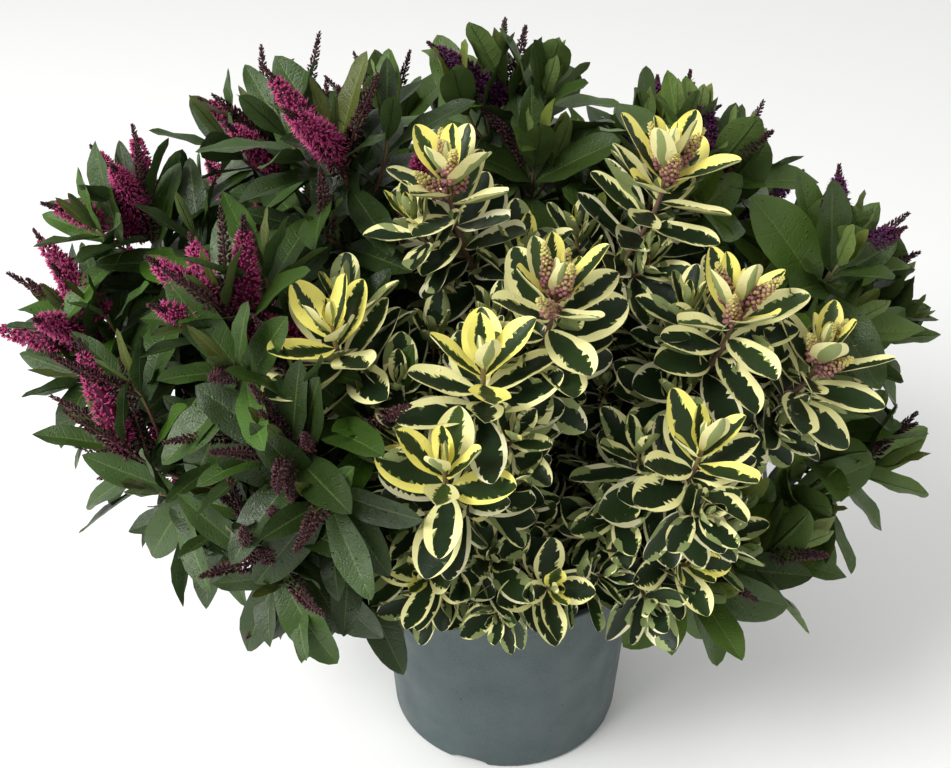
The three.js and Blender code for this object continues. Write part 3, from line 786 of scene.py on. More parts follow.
def varied_material(name, colour, roughness, specular=0.5, gloss=None, relief=None, tones=None):
    """A material that varies by noise. gloss, relief and tones each begin with the scale, detail and
    roughness of their pattern. Then gloss has the least and the most roughness, relief its depth
    and strength, and tones the range of noise that goes from its first to its second colour."""
    material, tree, shader = new_material(name, colour, roughness, specular)
    if gloss:
        *pattern, low, high = gloss
        tree.links.new(mapped(tree, noise_at(tree, *pattern), low, high), shader.inputs["Roughness"])
    if relief:
        *pattern, depth, strength = relief
        bumped(tree, shader, noise_at(tree, *pattern), depth, strength)
    if tones:
        *pattern, start, end, first, second = tones
        share = mapped(tree, noise_at(tree, *pattern), 0, 1, start, end)
        tree.links.new(mixed(tree, share, linear(*first), linear(*second)), shader.inputs["Base Color"])
    return material


# The finish of a leaf: its least and most roughness, the height of its side veins and of its midrib,
# and the depth of its relief in metres.
LEAF_FINISHES = dict(
    green_top=dict(gloss=(0.24, 0.46), veins=1.0, rib=0.0, relief=0.00045),
    green_under=dict(gloss=(0.45, 0.65), veins=-1.6, rib=4.0, relief=0.00045),
    variegated_top=dict(gloss=(0.34, 0.55), veins=0.7, rib=0.0, relief=0.00022),
    variegated_under=dict(gloss=(0.5, 0.7), veins=-1.0, rib=0.0, relief=0.00022),
)
VEINS = dict(count=10, slant=-1.1, sharpness=6, height=-0.35)
RIB_EDGE = (0.02, 0.12)  # a raised midrib falls away between these shares of half the width
# Patterns without a direction, in repeats for each millimetre of leaf.
GRAIN, SMEARS = dict(Scale=0.8, Detail=3), dict(Scale=0.16, Detail=2)
DROPS = dict(scale=0.22, edge=(0.06, 0.2), height=1.2)
LEAF_BUMP = 0.8  # the strength of the relief


def leaf_material(name, colour, rule, gloss, veins, rib, relief):
    """A waxy leaf: an even colour under a gloss that varies, with side veins, a fine leathery
    grain and a few drops of water, all drawn on the leaf map so that they follow every leaf."""
    material, tree, shader = new_material(name, colour, gloss[0], 0.3)

    def value(operation, *values):
        return calculated(tree, operation, *values)

    leaf_map = add_node(tree, "ShaderNodeUVMap", uv_map=LEAF_MAP).outputs["UV"]
    parts = add_node(tree, "ShaderNodeSeparateXYZ", Vector=leaf_map).outputs
    across_leaf = value("FRACT", value("MULTIPLY", parts["X"], MAP_TILES))
    from_rib = value("ABSOLUTE", value("MULTIPLY_ADD", across_leaf, 2, -1))
    along_leaf = value("FRACT", value("MULTIPLY", parts["Y"], 2))
    # Side veins leave the midrib at a slant, thin lines that fade before the rim.
    slant = value("MULTIPLY", from_rib, VEINS["slant"])
    phase = value("ADD", value("MULTIPLY", along_leaf, VEINS["count"]), slant)
    wave = value("SINE", value("MULTIPLY", phase, 2 * math.pi))
    line = value("POWER", value("MAXIMUM", wave, 0), VEINS["sharpness"])
    fading = value("MULTIPLY", line, value("SUBTRACT", 1, from_rib))
    # The map in millimetres, for what has no direction.
    wide = value("MULTIPLY", parts["X"], MAP_TILES * rule["width"])
    long = value("MULTIPLY", parts["Y"], 2 * rule["length"])
    spot = add_node(tree, "ShaderNodeCombineXYZ", X=wide, Y=long).outputs["Vector"]
    grain = add_node(tree, "ShaderNodeTexNoise", Vector=spot, **GRAIN).outputs["Fac"]
    smears = add_node(tree, "ShaderNodeTexNoise", Vector=spot, **SMEARS).outputs["Fac"]
    drops = add_node(tree, "ShaderNodeTexVoronoi", Vector=spot, Scale=DROPS["scale"], Randomness=1)
    drop = mapped(tree, drops.outputs["Distance"], 1, 0, *DROPS["edge"])
    tree.links.new(mapped(tree, smears, *gloss), shader.inputs["Roughness"])
    height = value("MULTIPLY_ADD", fading, VEINS["height"] * veins, grain)
    height = value("MULTIPLY_ADD", drop, DROPS["height"], height)
    if rib:
        height = value("ADD", mapped(tree, from_rib, rib, 0, *RIB_EDGE), height)
    bumped(tree, shader, height, relief, LEAF_BUMP)
    return material


def leaf_materials(form, part, colours, finish):
    rule, finish = FORMS[form]["leaf"], LEAF_FINISHES[finish]
    return [leaf_material(f"{form}_{part}_{i}", c, rule, **finish) for i, c in enumerate(colours)]


# ---- Leaves of the two green forms ----

# Dark, middling, bright and young, from 8-bit screen values.
GREEN_TOPS = dict(
    narrow=((38, 54, 21), (48, 70, 24), (56, 86, 24), (76, 84, 36)),
    broad=((52, 70, 29), (67, 90, 35), (84, 108, 41), (104, 116, 50)),
)
GREEN_UNDERS = dict(narrow=((62, 84, 42), (76, 92, 46)), broad=((78, 98, 48), (96, 114, 58)))
MIDDLING_FROM, BRIGHT_FROM = 0.45, 0.72
OLIVE_TO, LEADER_OLIVE_TO = 1, 6  # how far down leaves are olive, and on half the leading shoots
RIBS, UNDERSIDES = 4, 8  # the numbers of the first material of each kind
RIB_TINT, RIB_SHARE = (134, 150, 84), 0.28
RIB_HALF = 0.5  # half the width of a midrib
BIG_LEAF, BIG_ROWS, SMALL_ROWS = 44, 11, 7  # a leaf longer than this has more rows of faces
HALF_WAY = 0.52  # the line of corners between midrib and rim
GREEN_SHEET = dict(thickness=0.7, bulge=0.1, wave=(1.0, 2.2), groove=0.2, slant=0.03)


def shade_of(leaf):
    """0 to 3: dark, middling, bright or young. Sprays share a shade, and the youngest are olive."""
    shoot = leaf["shoot"]
    on_leader = shoot.kind == "leader" and chance(shoot.key, 15) < 0.5
    if leaf["below"] < (LEADER_OLIVE_TO if on_leader else OLIVE_TO):
        return 3
    level = 0.65 * chance(shoot.key, 11) + 0.35 * chance(*leaf["keys"], 12)
    # Painted shade and painted light: low leaves are dealt darker shades on the narrow form and lighter ones
    # on the broad form.
    level *= mix(FORMS[shoot.form]["low_painted_light"], 1, lit_at(leaf["foot"].z))
    return 0 if level < MIDDLING_FROM else 1 if level < BRIGHT_FROM else 2


def add_green(joined, rule, leaves, rows):
    shape = LeafShape(rows, 5, 2)
    width = np.array([leaf["width"] for leaf in leaves])[:, None]
    rib = np.broadcast_to(np.minimum(2 * RIB_HALF / width, 0.11), (len(leaves), rows + 1))
    rim = np.ones_like(rib)
    top = np.stack([-rim, -HALF_WAY * rim, -rib, rib, HALF_WAY * rim, rim], axis=2)
    under = np.stack([-rim, 0 * rim, rim], axis=2)
    points, places, shares = leaf_mesh(shape, leaves, top, under, rule, **GREEN_SHEET)
    shades = np.array([shade_of(leaf) for leaf in leaves])[:, None]
    top_paints = np.where(shape.columns == 2, RIBS + shades, shades)
    paints = np.where(shape.is_top, top_paints, UNDERSIDES + (shades == 3))
    joined.add_copies(points, shape.faces, paints, shape.rims, shape.maps(places, shares))


def green_leaves(form, leaves):
    rule, tops = FORMS[form]["leaf"], GREEN_TOPS[form]
    joined = Joined()
    add_green(joined, rule, [leaf for leaf in leaves if leaf["length"] > BIG_LEAF], BIG_ROWS)
    add_green(joined, rule, [leaf for leaf in leaves if leaf["length"] <= BIG_LEAF], SMALL_ROWS)
    ribs = [[mix(a, b, RIB_SHARE) for a, b in zip(colour, RIB_TINT)] for colour in tops]
    materials = leaf_materials(form, "top", tops, "green_top")
    materials += leaf_materials(form, "rib", ribs, "green_top")
    materials += leaf_materials(form, "under", GREEN_UNDERS[form], "green_under")
    joined.piece(f"{form}_leaves", materials, f"foliage_{form}", foliage_nodes(form))


# ---- Leaves of the variegated form ----

VARIEGATED_COLOURS = dict(
    centre=((25, 41, 20), (36, 54, 25), (58, 79, 34)),
    patch=((84, 104, 58), (132, 146, 80)),
    margin=((234, 229, 188), (244, 239, 172), (252, 242, 130)),
    under=((138, 150, 96), (226, 220, 160)),
)
PATCHES, MARGINS, UNDERS = 3, 5, 8  # the numbers of the first material of each kind
# The rows of faces of a leaf and the columns of its underside, by the kind of its shoot.
VARIEGATED_NETS = dict(leader=(17, 4), side=(11, 2), inner=(10, 2))
VARIEGATED_SHEET = dict(thickness=0.6, bulge=-0.1, wave=(0.5, 1.6), slant=0.17)
# Where a leaf's dark centre ends, as a share of its half width, in low and in full light. It ends
# sooner by youth, by chance from leaf to leaf, in bays (on an old and a young leaf) and by a tooth
# at each row (in low and in full light).
BORDER = dict(at=(0.94, 0.87), youth=0.44, stray=0.025, bay=(0.05, 0.37), tooth=(0.03, 0.05))
BORDER_LIMITS = (0.12, 0.94)
INNER_LINE = (0.6, 0.88)  # where a line of corners inside the border may lie, as shares of it
# Between centre and margin a face is pale or grey-green by chance: the shares on an old and on a
# young leaf. Near the margin more of them are, and far from it fewer.
STREAKS = dict(pale=(0.05, 0.43), patch=(0.04, 0.4), near=(-0.08, -0.26), far=0.22)

# How yellow a leaf is on a low shoot and on one that isn't a leading shoot, the distance over which
# this fades, and the range of chance.
YOUTH = dict(low=0.6, side=0.55, fades_over=30, chances=(0.85, 1.1))


def youth_of(leaf):
    """How yellow a leaf of the variegated form is: most at the tip of the brightest shoots."""
    shoot = leaf["shoot"]
    brightest = mix(YOUTH["low"], 1, lit_at(shoot.tip.z)) * (1 if shoot.kind == "leader" else YOUTH["side"])
    fading = math.exp(-leaf["below"] / YOUTH["fades_over"])
    return min(1, fading * brightest * mix(*YOUTH["chances"], chance(shoot.key, 17)))


def border_of(shape, youth, lit, draw):
    """Where the dark centre of each leaf ends, at each row on either side."""
    count = len(youth)
    bays = np.stack([np.interp(shape.shares, np.linspace(0, 1, 6), row) for row in np.eye(6)], axis=1)
    bay = np.einsum("rk,nks->nrs", bays, draw.random((count, 6, 2)) ** 1.6)
    tooth = draw.random((count, len(bays), 2))
    stray = draw.normal(0, 1, (count, 1, 1))
    border = mix(*BORDER["at"], lit) - BORDER["youth"] * youth - BORDER["stray"] * stray
    border = border - mix(*BORDER["bay"], youth) * bay - mix(*BORDER["tooth"], lit) * tooth
    return np.clip(border, *BORDER_LIMITS)


def add_variegated(joined, leaves, rows, under_columns, draw):
    """Dark centres, cream margins and between them streaks of dark, grey-green or cream that run
    forward along the side veins, each by its own faces."""
    shape = LeafShape(rows, 6, under_columns)
    count = len(leaves)
    youth = np.array([youth_of(leaf) for leaf in leaves])[:, None]
    lit = np.array([lit_at(leaf["foot"].z) for leaf in leaves])[:, None]
    border = border_of(shape, youth[..., None], lit[..., None], draw)
    inner = border * draw.uniform(*INNER_LINE, (count, rows + 1, 2))
    rim = np.ones((count, rows + 1))
    top = [-rim, -border[..., 0], -inner[..., 0], 0 * rim, inner[..., 1], border[..., 1], rim]
    under = [top[i] for i in ((0, 1, 3, 5, 6) if under_columns == 4 else (0, 3, 6))]
    sheets, rule = (np.stack(top, axis=2), np.stack(under, axis=2)), FORMS["variegated"]["leaf"]
    points, places, shares = leaf_mesh(shape, leaves, *sheets, rule, **VARIEGATED_SHEET)
    margin = MARGINS + np.clip(np.floor(youth * 3.2 + 0.6 * draw.random((count, 1))), 0, 2).astype(int)
    centre = (youth > 0.5).astype(int) + (draw.random((count, 1)) < 0.3)
    patch = PATCHES + (youth > 0.3)
    column = shape.columns
    streak = draw.random((count, rows, 2))[:, shape.face_rows, (column > 2).astype(int)]
    near_margin = np.isin(shape.lines, (1, 5))
    streak = streak + np.where(near_margin, mix(*STREAKS["near"], youth), STREAKS["far"])
    pale = mix(*STREAKS["pale"], youth)
    streaked = np.where(streak < pale + mix(*STREAKS["patch"], youth), patch, centre)
    streaked = np.where(streak < pale, margin, streaked)
    top_paints = np.where(np.isin(column, (1, 4)), streaked, centre)
    top_paints = np.where(np.isin(column, (0, 5)), margin, top_paints)
    under_rim = np.isin(column, (0, 3)) & (under_columns == 4)
    paints = np.where(shape.is_top, top_paints, UNDERS + under_rim)
    joined.add_copies(points, shape.faces, paints, shape.rims, shape.maps(places, shares))


def variegated_leaves(name, leaves):
    draw = np.random.default_rng(SEED + len(leaves))
    joined = Joined()
    for kind, net in VARIEGATED_NETS.items():
        add_variegated(joined, [leaf for leaf in leaves if leaf["shoot"].kind == kind], *net, draw)
    materials = []
    for part, colours in VARIEGATED_COLOURS.items():
        finish = "variegated_under" if part == "under" else "variegated_top"
        materials += leaf_materials("variegated", part, colours, finish)
    joined.piece(name, materials, "foliage_variegated", foliage_nodes("variegated"))


# ---- Flower spikes ----

# From 8-bit screen values. The buds of the variegated form turn from the first to the last colour
# from the tip of a spike to its foot.
SPIKE_COLOURS = dict(
    narrow=dict(
        stalk=(74, 46, 40), bud_0=(48, 21, 28), bud_1=(66, 30, 38), bud_2=(90, 50, 50),
        core_dark_and_shade=(84, 12, 46), petals=(158, 46, 98), threads=(206, 116, 152),
    # The first flower colour here and below is that of a bloom's core: partly the dark of its flower tubes,
    # partly painted shade between the florets.
    ),
    broad=dict(
        stalk=(66, 38, 40), bud_0=(46, 18, 30), bud_1=(64, 27, 42), bud_2=(86, 46, 52),
        core_dark_and_shade=(44, 12, 40), petals=(80, 26, 72), threads=(112, 56, 100),
    ),
    variegated=dict(
        stalk=(118, 92, 70), bud_0=(190, 180, 108), bud_1=(166, 134, 104), bud_2=(144, 94, 98),
    ),
)
SPIKE_PAINTS = dict(buds=("stalk", "bud_0", "bud_1", "bud_2"), flowers=("core_dark_and_shade", "petals", "threads"))
PETAL_FINISH = dict(roughness=0.6, specular=0.3, gloss=(300, 3, 0.5, 0.45, 0.75))
# How the buds of a spike are set: their number, where the lowest is, how far they stand out, their
# length and width, and the sides of each.
BUDS = dict(
    narrow=dict(count=160, first=0.08, reach=6.0, size=(4.3, 2.3), sides=3),
    broad=dict(count=150, first=0.1, reach=6.0, size=(4.3, 2.3), sides=3),
    variegated=dict(count=84, first=0.2, reach=6.6, size=(3.4, 3.3), sides=5),
)
# The open flowers of a spike: how many, from which to which share of it, how far they stand out,
# how thick their core is, and every how many flowers it has a ring. Above them are buds, from a
# little below the last flower. The sizes of a petal and a thread are shares of the reach, with
# their width in millimetres.
BLOOM = dict(
    florets=142, first=0.05, last=0.84, reach=11.8, core=0.46, ring_every=21, buds=60, buds_from=0.78,
    petal=dict(count=3, foot=0.44, spread=0.62, length=0.44, width=1.9),
    thread=dict(count=2, foot=0.56, spread=0.36, length=0.46, width=0.55),
)
PETAL_WIDEST = 0.66  # the share of its length where a petal is widest
SPIKE_SPACING = 9  # from one pair of spikes to the next below it
# How far each of these may stray: the tilt in degrees, the turn in radians, and shares.
SPIKE_CHANCES = dict(tilt=12, turn=0.2, length=0.18, bend=0.3)
STALK_RADII, STALK_TO = (1.3, 0.5), 0.96
# The masses that carry spikes, where not all of a form do, and those whose flowers aren't open yet.
SPIKED = dict(variegated=("upper_middle", "top_left", "top_right", "right_inner", "right_outer"))
STILL_IN_BUD = dict(
    narrow=("skirt_front", "low_left_low", "front_left_lower"),
    broad=("low_right_front", "low_right_side", "back_right_low"),
    variegated=(),
)
SPIRAL = math.radians(137.508)


def bud_net(widest=0.5, sides=3):
    """A bud or a petal as a closed body along +Z, widest at a share of its length."""
    return closed_stack([level_ring(1, widest, sides)], (0, 0, 0), (0, 0, 1))


def needle_net():
    """A thread: a three-sided cone along +Z."""
    return np.array([*level_ring(1, 0, 3), (0, 0, 1)]), np.array([(0, 2, 1), (0, 1, 3), (1, 2, 3), (2, 0, 3)])


def set_along(net, feet, directions, lengths, widths):
    """Copies of a net along +Z, set along directions: (copies, corners, 3)."""
    directions = directions / np.linalg.norm(directions, axis=1)[:, None]
    helper = np.where(np.abs(directions[:, 2:]) < 0.9, [[0, 0, 1.0]], [[1.0, 0, 0]])
    x = np.cross(helper, directions)
    x /= np.linalg.norm(x, axis=1)[:, None]
    y = np.cross(directions, x)
    wide = np.broadcast_to(widths, len(feet))[:, None, None] / 2
    long = np.broadcast_to(lengths, len(feet))[:, None, None]
    sideways = x[:, None] * net[:, 0:1] + y[:, None] * net[:, 1:2]
    return feet[:, None] + sideways * wide + directions[:, None] * net[:, 2:3] * long


def spike_on(shoot, index):
    """A flower spike from the axil of one of the upper pairs of leaves."""
    rule = FORMS[shoot.form]["spikes"]
    keys = (shoot.key, SPIKE_KEY + index)
    pair = 1 + index // 2
    foot, along, outward = shoot.bearing(SPIKE_SPACING * pair, pair)
    tilt = math.radians(rule["tilt"] + jitter(SPIKE_CHANCES["tilt"], *keys, 1))
    turn = math.pi * (0.25 + index) + jitter(SPIKE_CHANCES["turn"], *keys, 2)
    direction = along * math.cos(tilt) + turned(outward, along, turn) * math.sin(tilt)
    length = rule["length"] * (1 + jitter(SPIKE_CHANCES["length"], *keys, 3))
    end = (direction + across(direction) * jitter(SPIKE_CHANCES["bend"], *keys, 4)).normalized()
    path = Path(foot, foot + direction * length / 2, foot + end * length)
    return dict(path=path, keys=keys, blooms=chance(*keys, 5) < rule["bloom"])


def spiral(path, shares, keys, lean):
    """Places on a spike's axis, with directions that turn round it and lean towards its tip."""
    turns = np.arange(len(shares)) * SPIRAL + 2 * math.pi * chance(*keys, 21)
    at = shares * path.length
    points = np.stack([np.interp(at, path.at, line) for line in path.points.T], axis=1)
    ahead = np.stack([np.gradient(line, path.at) for line in path.points.T])
    along = np.stack([np.interp(at, path.at, line) for line in ahead], axis=1)
    x = np.cross(along, across(path.along(0.5)))
    x /= np.linalg.norm(x, axis=1)[:, None]
    out = x * np.cos(turns)[:, None] + np.cross(along, x) * np.sin(turns)[:, None]
    return points, out * np.cos(lean)[:, None] + along * np.sin(lean)[:, None]


def add_buds(joined, form, spike, draw):
    rule = BUDS[form]
    first, count = rule["first"], rule["count"]
    if spike["blooms"]:
        first, count = BLOOM["buds_from"], BLOOM["buds"]
    shares = np.linspace(first, 1, count)
    taper = np.clip((1 - shares) / (1 - rule["first"]), 0, 1) ** 0.6
    lean = np.radians(24 + 44 * (1 - taper)) + draw.normal(0, 0.12, count)
    points, directions = spiral(spike["path"], shares, spike["keys"], lean)
    feet = points + directions * (0.5 * rule["reach"] * taper)[:, None]
    grown = (0.5 + 0.5 * taper) * draw.uniform(0.85, 1.15, count)
    paints = 1 + (draw.random(count) ** 2 * 3).astype(int)
    if form == "variegated":
        paints = 1 + np.clip((3.4 * (1 - shares) + draw.normal(0, 0.3, count)).astype(int), 0, 2)
    corners, faces = bud_net(sides=rule["sides"])
    buds = set_along(corners, feet, directions, rule["size"][0] * grown, rule["size"][1] * grown)
    joined.add_copies(buds, faces, paints[:, None])


def add_flowers(joined, spike, draw):
    """Open flowers round the lower part of a spike, petals and threads on a dense core."""
    count = BLOOM["florets"]
    shares = np.linspace(BLOOM["first"], BLOOM["last"], count)
    rise = np.linspace(0, 1, count)
    reach = BLOOM["reach"] * np.clip(1 - ((rise - 0.35) / 0.95) ** 2, 0.3, 1)
    points, directions = spiral(spike["path"], shares, spike["keys"], np.radians(4 + 40 * rise))
    rings = np.arange(0, count, BLOOM["ring_every"])
    # The core takes the first flower paint, partly the dark of the flower tubes and partly painted shade
    # between the florets.
    joined.add(*tube(spike["path"].points_at(shares[rings]), BLOOM["core"] * reach[rings], 9))
    nets = dict(petal=bud_net(PETAL_WIDEST), thread=needle_net())
    for paint, (name, (corners, faces)) in enumerate(nets.items(), 1):
        rule = BLOOM[name]
        feet = points + directions * (rule["foot"] * reach)[:, None]
        for _ in range(rule["count"]):
            lean = directions + draw.normal(0, rule["spread"], directions.shape)
            long = reach * rule["length"] * draw.uniform(0.8, 1.15, count)
            joined.add_copies(set_along(corners, feet, lean, long, rule["width"]), faces, paint)


def make_spikes(form, spikes):
    """The spikes of a form as two pieces: buds on their stalks, and open flowers."""
    groups = dict(buds=Joined(), flowers=Joined())
    draw = np.random.default_rng(SEED + len(spikes))
    for spike in spikes:
        stalk = spike["path"].points_at(np.linspace(0, STALK_TO, 6))
        groups["buds"].add(*tube(stalk, np.linspace(*STALK_RADII, 6), 5))
        add_buds(groups["buds"], form, spike, draw)
        if spike["blooms"]:
            add_flowers(groups["flowers"], spike, draw)
    for group, joined in groups.items():
        if joined.count:
            colours = {f"{form}_{paint}": SPIKE_COLOURS[form][paint] for paint in SPIKE_PAINTS[group]}
            materials = [varied_material(*named, **PETAL_FINISH) for named in colours.items()]
            joined.piece(f"{form}_{group}", materials, f"foliage_{form}", foliage_nodes(form))


# ---- Twigs, boughs and stems ----

# Old and young wood, from 8-bit screen values.
TWIG_COLOURS = dict(
    narrow=((92, 60, 48), (104, 92, 58)),
    broad=((82, 46, 44), (92, 84, 54)),
    variegated=((104, 78, 66), (128, 112, 74)),
)
TWIG_FINISH = dict(roughness=0.6, gloss=(300, 3, 0.5, 0.45, 0.75), relief=(700, 4, 0.5, 0.0004, 0.8))
BARK_FINISH = dict(
    roughness=0.8,
    gloss=(90, 3, 0.5, 0.65, 0.95),
    relief=(620, 6, 0.7, 0.0008, 0.9),
    tones=(240, 6, 0.65, 0.35, 0.65, (62, 46, 38), (128, 106, 86)),
)
YOUNG_WOOD = 16  # twigs are young for this far from their tips
TWIG_RING, BOUGH_RING = 5.5, 3  # from one ring of corners to the next
NODE_SWELLING, NODE_SPREAD = 0.22, 1.6  # how much thicker a twig is at its nodes, and how widely


def twig_radii(shoot, shares):
    """The radii of a twig, which thins to its tip and swells where a pair of leaves sits."""
    nodes = np.array([shoot.below(rank) for rank in range(shoot.ranks + 4)])
    below = (1 - shares) * shoot.path.length
    near_node = np.exp(-((below[:, None] - nodes) ** 2) / NODE_SPREAD).sum(1)
    return mix(*shoot.radii, shares) * (1 + NODE_SWELLING * np.minimum(1, near_node))


def make_twigs(form, masses):
    joined = Joined()
    for shoot in (shoot for mass in masses for shoot in mass["shoots"]):
        shares = np.linspace(0, 0.995, max(6, int(shoot.path.length / TWIG_RING)))
        corners, faces = tube(shoot.path.points_at(shares), twig_radii(shoot, shares), 5)
        from_tip = np.linalg.norm(corners[faces].mean(1) - np.array(shoot.tip), axis=1)
        joined.add(corners, faces, from_tip < YOUNG_WOOD)
    materials = [
        varied_material(f"{form}_twig_{i}", c, **TWIG_FINISH) for i, c in enumerate(TWIG_COLOURS[form])
    ]
    joined.piece(f"{form}_twigs", materials, f"foliage_{form}", foliage_nodes(form))


def bark_relief(depth, rings):
    """Ridges that run along a limb, broken by the scars of old leaves round it."""

    def relief(point, share, turn):
        ridge = noise.noise(Vector((math.cos(turn) * 2.2, math.sin(turn) * 2.2, share * rings * 0.35)))
        grain = noise.noise(Vector(point) * 0.35)
        scar = max(0.0, 1 - abs((share * rings) % 1 - 0.5) / 0.12)
        return depth * (0.8 * ridge + 0.5 * grain + 0.55 * scar)

    return relief


def make_wood(stems, boughs):
    bark = varied_material("hebe_bark", (92, 72, 58), **BARK_FINISH)
    joined = Joined()
    shares = np.linspace(0, 1, 40)
    flare = (STEM["flare"] - STEM["foot"]) * np.maximum(0, 1 - shares / STEM["flare_share"]) ** 2
    for path in stems.values():
        radii = mix(STEM["foot"], STEM["tip"], shares) + flare
        joined.add(*tube(path.points_at(shares), radii, 24, bark_relief(0.9, 7)))
    joined.piece("stems", [bark], "bark", list(stems))
    joined = Joined()
    for path in boughs.values():
        shares = np.linspace(0, 1, max(16, int(path.length / BOUGH_RING)))
        radii = mix(BOUGH["start"], BOUGH["end"], shares)
        joined.add(*tube(path.points_at(shares), radii, 14, bark_relief(0.45, path.length / 11)))
    joined.piece("boughs", [bark], "bark", list(boughs))


# ---- Pot and soil ----

POT_SIDES, POT_ROUNDING, POT_SHARP = 144, 1.2, 40
# The speckled plastic: the scale and detail of each noise pattern with the range of noise that it is
# read between, and the colours from 8-bit screen values.
POT_TONES = dict(mottle=(14, 3, 0.35, 0.65), flecks=(900, 2, 0.4, 0.6), dots=(60, 2, 0.52, 0.6))
POT_COLOURS = dict(dark=(56, 69, 70), light=(64, 77, 78), flecks=(104, 116, 116), dots=(30, 36, 35))
FLECKS_SHARE = 0.12
DOTS = dict(scale=130, edge=(0.07, 0.11))
# The soil is level to a distance from the middle and then drops to the wall. crumbs is how many
# loose ones lie on it.
SOIL = dict(sides=72, rings=26, level_to=74, drop=5, settled=1.2, lumps=1.4, crumbs=900, bark=0.12)
SOIL_FINISH = dict(
    roughness=0.95,
    relief=(800, 5, 0.7, 0.001, 1.0),
    tones=(500, 6, 0.7, 0.3, 0.7, (30, 22, 16), (70, 54, 40)),
)


def smooth_outline(corners, radius, steps=4):
    """A half outline with its inner corners rounded off."""
    corners = [Vector(corner) for corner in corners]
    points = corners[:1]
    for before, corner, after in zip(corners, corners[1:], corners[2:]):
        size = min(radius, 0.45 * (corner - before).length, 0.45 * (after - corner).length)
        start = corner + (before - corner).normalized() * size
        end = corner + (after - corner).normalized() * size
        for i in range(steps + 1):
            t = i / steps
            points.append(start * (1 - t) ** 2 + corner * 2 * t * (1 - t) + end * t * t)
    return points + corners[-1:]


def wall_radius(height):
    return mix(POT["foot"], POT["top"], height / POT["height"])


def pot_material():
    material, tree, shader = new_material("grey_pot_plastic", (59, 72, 73), 0.55)
    tones = {name: linear(*colour) for name, colour in POT_COLOURS.items()}

    def pattern(name, high):
        scale, detail, start, end = POT_TONES[name]
        return mapped(tree, noise_at(tree, scale, detail), 0, high, start, end)

    colour = mixed(tree, pattern("mottle", 1), tones["dark"], tones["light"])
    colour = mixed(tree, pattern("flecks", FLECKS_SHARE), colour, tones["flecks"])
    spot = add_node(tree, "ShaderNodeTexCoord").outputs["Object"]
    dots = add_node(tree, "ShaderNodeTexVoronoi", Vector=spot, Scale=DOTS["scale"], Randomness=1)
    dot = mapped(tree, dots.outputs["Distance"], 1, 0, *DOTS["edge"])
    colour = mixed(tree, calculated(tree, "MULTIPLY", dot, pattern("dots", 1)), colour, tones["dots"])
    tree.links.new(colour, shader.inputs["Base Color"])
    tree.links.new(mapped(tree, noise_at(tree, 45, 4), 0.45, 0.68), shader.inputs["Roughness"])
    bumped(tree, shader, noise_at(tree, 1500, 3), 0.00012, 0.5)
    return material


def make_pot():
    top, floor, wall, rim = POT["height"], POT["floor"], POT["wall"], POT["rim"]
    rim_start = top - POT["rim_height"]
    outline = smooth_outline(
        [
            (0, 0),
            (POT["foot"] - 2, 0),
            (wall_radius(2), 2),
            (wall_radius(rim_start), rim_start),
            (rim, rim_start + 1.4),
            (rim, top - 1),
            (rim - 1.2, top),
            (wall_radius(top) - wall + 0.8, top),
            (wall_radius(rim_start) - wall, rim_start),
            (wall_radius(floor) - wall, floor),
            (0, floor),
        ],
        POT_ROUNDING,
    )
    joined = Joined()
    rings = [level_ring(*point, POT_SIDES) for point in outline[1:-1]]
    joined.add(*closed_stack(rings, (0, 0, 0), (0, 0, floor)))
    pot = joined.piece("nursery_pot", [pot_material()], "pot", ["pot"])
    for i in range(NOTCH["count"]):
        cut_notch(pot, math.radians(NOTCH["first"] + 360 * i / NOTCH["count"]))
    pot.data.polygons.foreach_set("use_smooth", np.full(len(pot.data.polygons), True))
    pot.data.set_sharp_from_angle(angle=math.radians(POT_SHARP))


def cut_notch(pot, turn):
    """Takes a low arched drain notch out of the foot."""
    half, depth, height = NOTCH["width"] / 2, NOTCH["depth"], NOTCH["height"]
    turns = np.linspace(0.12, math.pi - 0.12, 11)
    arc = [(-half, -4), (half, -4), (half, 0)]
    arc += [(half * math.cos(a), height * math.sin(a) ** 0.6) for a in turns]
    arc += [(-half, 0)]
    n = len(arc)
    ring = [(POT["foot"] + side * depth, y, z) for side in (-1, 1) for y, z in arc]
    faces = [(0, i + 1, i) for i in range(1, n - 1)] + [(n, n + i, n + i + 1) for i in range(1, n - 1)]
    for i in range(n):
        j = (i + 1) % n
        faces += [(i, j, n + j), (i, n + j, n + i)]
    points = [turned(Vector(p), UP, turn) * MM for p in ring]
    mesh = bpy.data.meshes.new("notch")
    mesh.from_pydata(points, [], faces)
    cutter = linked("notch", mesh)
    modifier = pot.modifiers.new("notch", "BOOLEAN")
    modifier.operation, modifier.object, modifier.solver = "DIFFERENCE", cutter, "EXACT"
    evaluated = pot.evaluated_get(bpy.context.evaluated_depsgraph_get())
    old = pot.data
    pot.data = bpy.data.meshes.new_from_object(evaluated)
    pot.data.name = "nursery_pot"
    pot.modifiers.clear()
    bpy.data.objects.remove(cutter)
    bpy.data.meshes.remove(mesh)
    bpy.data.meshes.remove(old)


